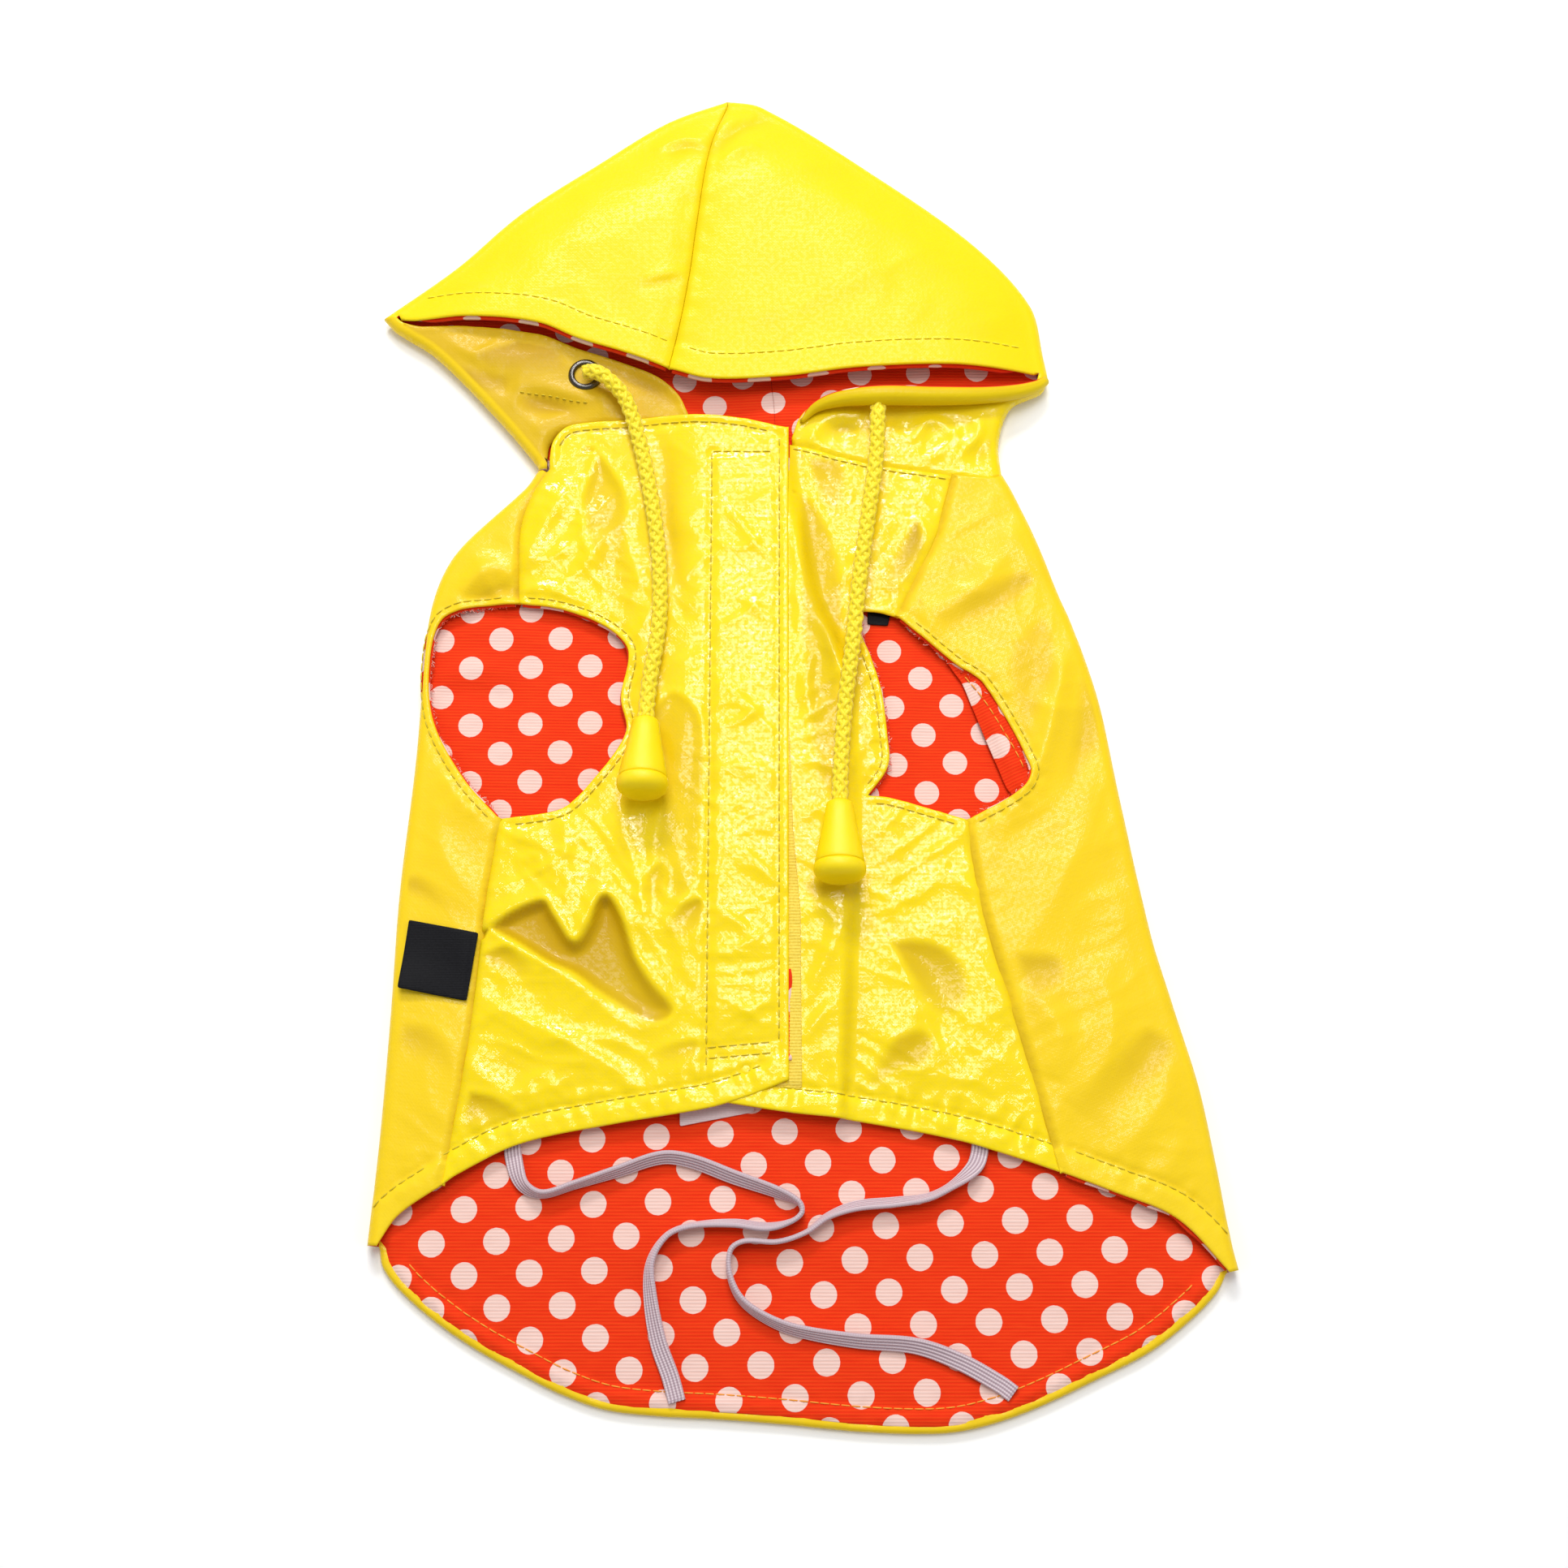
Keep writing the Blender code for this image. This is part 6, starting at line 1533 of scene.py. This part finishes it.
def tab_form(points):
    """The tab lies over the wrap, a little stiff, with its lower inner corner lifted."""
    corner = np.array(SIDE_TAB[2])
    lift = np.exp(-(np.linalg.norm(points - corner, axis=1) / TAB_LIFT_REACH) ** 2)
    under = [wraps[-1]["form"](points + shift)[0] for shift in ((0, 0), (3, 0), (-3, 0), (0, 3), (0, -3))]
    return np.mean(under, 0) + TAB_RISE + TAB_LIFT * lift, TAB_WALL, 0.5


def sewn_in(name, corners, form, finish, slot, node):
    """One small flat piece of cloth or tape."""
    piece = Sewing()
    add_cloth(piece, flat_outline(corners, CORNER_ROUNDING), form, SMALL_STEP, rim=0.2, under=0)
    made = piece.make(name, [finish], slot, node)


def label_form(points):
    """A label over the lining, with a slight curl."""
    curl = LABEL_CURL * noisy(points / LABEL_CURL_PITCH, 111.0)
    return np.maximum(lining_form(points)[0], LABEL_LOWEST) + LABEL_RISE + curl, LABEL_WALL, 0.5


def tape_form(points):
    """The tape follows the underlap it is stitched to, pressed down by the placket over it."""
    covered = ease((PLACKET_EDGE + TAPE_COVER_PAST - points[:, 0]) / TAPE_COVER_SLOPE)
    height = np.maximum(right_front_form(points)[0] + TAPE_RISE, TAPE_LOWEST)
    ceiling = left_front_form(points)[0] - WALL - TAPE_GAP
    return np.minimum(height, ceiling * covered + TAPE_CEILING * (1 - covered)), TAPE_WALL, 0.5


sewn_in("satin_tab", SIDE_TAB, tab_form, black_satin, "black_satin", "side_tab")
sewn_in("woven_care_label", CARE_LABEL, label_form, label_ribbon, "label_ribbon", "care_label")
sewn_in("satin_inner_label", INNER_LABEL, label_form, black_satin, "black_satin", "inner_label")
sewn_in("ribbed_hook_tape", HOOK_TAPE, tape_form, hook_tape, "hook_tape", "hook_tape")

# ----------
# Right armhole facing: a strip of the dotted lining that has turned up beside the opening, with its
# row of stitches. Round both openings the lining's cut edge frays out from under the turned cloth.
FACING_LEFT = ((44.9, 19.6), (49.6, 12.4), (51.9, 9), (54.6, 2), (57.7, -6.3), (61.5, -16),
    (64.5, -23.5), (66.4, -25.4))
FACING_RIGHT = ((44.9, 19.6), (52, 14.5), (60.4, 7.6), (67.2, -3), (73.4, -14), (74.4, -19.6),
    (66.4, -25.4))
FACING_TURN = math.radians(24.0)
FACING_STITCH = ((52.0, 12.0), (58.2, 3.5), (63.2, -5.0), (68.0, -14.0), (70.2, -20.0))
FACING_SEWN = (0.4, 0.3, 2.6, 2.5)
FACING_RISE, FACING_WALL = 1.5, 0.5
FACING_CREST, FACING_SLOPE = 1.2, 4.0  # it rises by this over this width from its free edge
FACING_SWELL, FACING_SWELL_PITCH = 0.35, 6.0
FACING_DOT = (62.2, -10.4)  # the place from which its print is turned
FRAY_RADIUS = 0.08
FRAY_EVERY = 0.3
FRAY_LENGTH = (0.3, 1.5)
FRAY_SIDES = 4

facing_left, facing_right, facing_stitches = map(curve_through, (FACING_LEFT, FACING_RIGHT,
                                                                 FACING_STITCH))


def facing_form(points):
    """The strip: it rises from its free edge and dips in to its stitches."""
    from_free = np.abs(beside(points, facing_left)[0])
    height = LINING_TOP + FACING_RISE + FACING_CREST * ease(from_free / FACING_SLOPE)
    height += FACING_SWELL * noisy(points / FACING_SWELL_PITCH, 121.0)
    return height + sewn(points, facing_stitches, *FACING_SEWN, 122.0), FACING_WALL, 0.5


def facing_weave(points):
    """The strip's own place on the printed cloth, turned with it."""
    return turned(points - FACING_DOT, FACING_TURN) + (0.0, DOT_PITCH / math.sqrt(2))


strip, strip_threads = Sewing(), Sewing()
outline, _ = outline_of(facing_left, facing_right[::-1])
add_cloth(strip, outline, facing_form, rim=0.3, weave=facing_weave, under=0)
facing = strip.make("lining_armhole_facing", [printed_polyester], "dotted_lining", "armhole_facing")
orange_thread = new_finish("sewing thread, orange yellow", thread_sockets, "E0801A", "FFB03A")
add_stitches(strip_threads, facing_stitches[1:-1], facing_form)
stitching = strip_threads.make("stitching_facing", [orange_thread], "dotted_lining")

EDGE_SECTION = ((-2.2, -1.25), (0.2, -1.3), (0.5, -1.55), (0.55, -1.9), (0.2, -2.2), (-2.2, -2.1))
red_fray = new_finish("frayed lining thread, red", thread_sockets, "D83214", "FF6A4A")
pale_fray = new_finish("frayed lining thread, pale", thread_sockets, "F2B4A2", "FFE0D6")
chance = np.random.default_rng(7)
edges = Sewing()
PLACKET_PEEK_LIFT = 0.85  # keeps the lining's edge above the hook tape at the placket's foot
placket_peeks = [curve_through(((PLACKET_EDGE, top), (PLACKET_EDGE, foot)))
                 for top, foot in ((86.0, 56.0), (-76.0, -104.0))]
# Edges of the lining: route, side it lies to, form, how far it peeps out, share that is frayed
lining_edges = (
    (wraps[-1]["armhole"], 1, wraps[-1]["form"], 0.5, 0.9), (left_armhole, 1, left_front_form, 0.35, 0.0),
    (wraps[1]["armhole"], -1, wraps[1]["form"], 0.5, 0.6),
    (right_armhole[1], -1, right_front_form, 0.35, 1.0), (right_armhole[2], -1, right_front_form, 0.3, 0.0),
    (wraps[1]["hem"], 1, wraps[1]["form"], 0.8, 0.0), (placket_peeks[0], -1, left_front_form, 0.3, 0.0),
    (placket_peeks[1], -1, left_front_form, 1.0, 0.0),
)
for route, turn, form, peek, frayed in lining_edges:
    line = inwards(route, 0.5, turn)[1:-1]
    outward = (inwards(line, 1.0, -turn) - line)
    uneven = peek * (0.6 + 0.9 * noisy_along(runs_of(line), 7.0, 3.3, 131.0))
    height = form(line)[0] + (PLACKET_PEEK_LIFT if route is placket_peeks[1] else 0.0)
    add_section(edges, line + outward * uneven[:, None], outward, height, EDGE_SECTION, flip=turn > 0)
    count = int(runs_of(line)[-1] / FRAY_EVERY * frayed)
    for at in np.sort(chance.uniform(2, len(line) - 3, count)):
        k = int(at)
        along = line[k + 1] - line[k]
        start = line[k] + along * (at - k) + outward[k] * (uneven[k] + 0.3)
        reach = chance.uniform(*FRAY_LENGTH) * chance.uniform(0.3, 1.0)
        lean, droop = chance.uniform(-1.2, 1.2), chance.uniform(-0.6, 0.5)
        bent = np.array([(*(start + (outward[k] * t + along * lean * t * t) * reach),
                          height[k] - 1.7 + droop * reach * t) for t in (0.0, 0.35, 0.7, 1.0)])
        add_tube(edges, bent, FRAY_RADIUS, FRAY_SIDES, 1 + int(chance.random() < 0.35))
edges.make("lining_edges", [printed_polyester, red_fray, pale_fray], "dotted_lining")

# ----------
# Stitching of the back panel and the hood's casing: the same olive thread along the wraps' hems and
# armholes, and an orange one that holds the lining down along the tail.
TAIL_THREAD = (2.7, 0.15)  # length of a stitch, and gap to the next
CASING_THREAD = (1.2, 1.0)
CASING_LEFT = ((-81.5, 101.6), (-72, 100.4), (-65, 98.6), (-58, 97.6))
back_threads, tail_threads, casing_threads = Sewing(), Sewing(), Sewing()
for side, wrap in wraps.items():
    add_stitches(back_threads, inwards(wrap["hem"], HEM_BAND, side)[1:-6], wrap["form"])
    add_stitches(back_threads, inwards(wrap["armhole"], ARMHOLE_BAND, -side)[2:-2], wrap["form"])
back_threads.make("stitching_back", [sewing_thread], "coated_cloth")
add_stitches(tail_threads, tail_stitches[9:-9], lining_form, *TAIL_THREAD)
tail_threads.make("stitching_tail", [orange_thread], "dotted_lining")
add_stitches(casing_threads, curve_through(CASING_LEFT), cheek_forms[-1], *CASING_THREAD)
casing_threads.make("stitching_casing", [sewing_thread], "hood_cloth")

# ----------
# Studio: a white table under large soft boxes. The overhead one lies where flat cloth mirrors it, so
# level cloth shines pale and sloping cloth stays golden; the one over the hood's end lights the folds.
FLOOR_SIZE = 3.0
# Soft boxes: name, place, width, depth, power, and whether glossy cloth mirrors it
SOFT_BOXES = (
    ("soft box, hood end", (-0.15, 1.15, 1.05), 0.58, 0.24, 11, True),
    ("soft box, over the hood", (0.08, 0.84, 1.2), 0.18, 0.2, 1.6, True),
    ("soft box, overhead", (0.03, 0.36, 1.25), 0.55, 0.6, 6, True),
    ("strip light, overhead", (0.1, 0.4, 1.24), 0.4, 0.035, 0.9, True),
    ("fill, left", (-1.1, -0.1, 0.8), 1, 1, 3.3, False),
    ("fill, right", (1.1, -0.1, 0.8), 1, 1, 3.3, False),
)
WORLD_GLOW = 0.27
TABLE_GAP = 0.2  # keeps the table clear of the coat's underside


def paper_sockets(finish):
    """Matt white paper: an even, very pale table."""
    return {"Base Color": srgb("FFFFFF"), "Roughness": 0.9, "Specular IOR Level": 0.1}


table = bpy.data.objects.new("table", bpy.data.meshes.new("table"))
half = FLOOR_SIZE / 2
table.data.from_pydata([(-half, -half, 0), (half, -half, 0), (half, half, 0), (-half, half, 0)], [],
                       [(0, 1, 2, 3)])
table.data.materials.append(new_finish("white paper", paper_sockets))
table.location.z = -TABLE_GAP * MM
bpy.context.scene.collection.objects.link(table)
for name, place, width, depth, power, mirrored in SOFT_BOXES:
    light = bpy.data.objects.new(name, bpy.data.lights.new(name, "AREA"))
    light.data.shape = "RECTANGLE"
    light.data.size, light.data.size_y, light.data.energy = width, depth, power
    light.location = place
    light.visible_glossy = mirrored
    light.rotation_euler = (-Vector(place)).to_track_quat("-Z", "Y").to_euler()
    bpy.context.scene.collection.objects.link(light)
world = bpy.data.worlds.new("studio")
world.use_nodes = True
glow = world.node_tree.nodes["Background"].inputs
glow["Color"].default_value, glow["Strength"].default_value = (1.0, 1.0, 1.0, 1.0), WORLD_GLOW
bpy.context.scene.world = world
bpy.context.scene.view_settings.view_transform = "Standard"
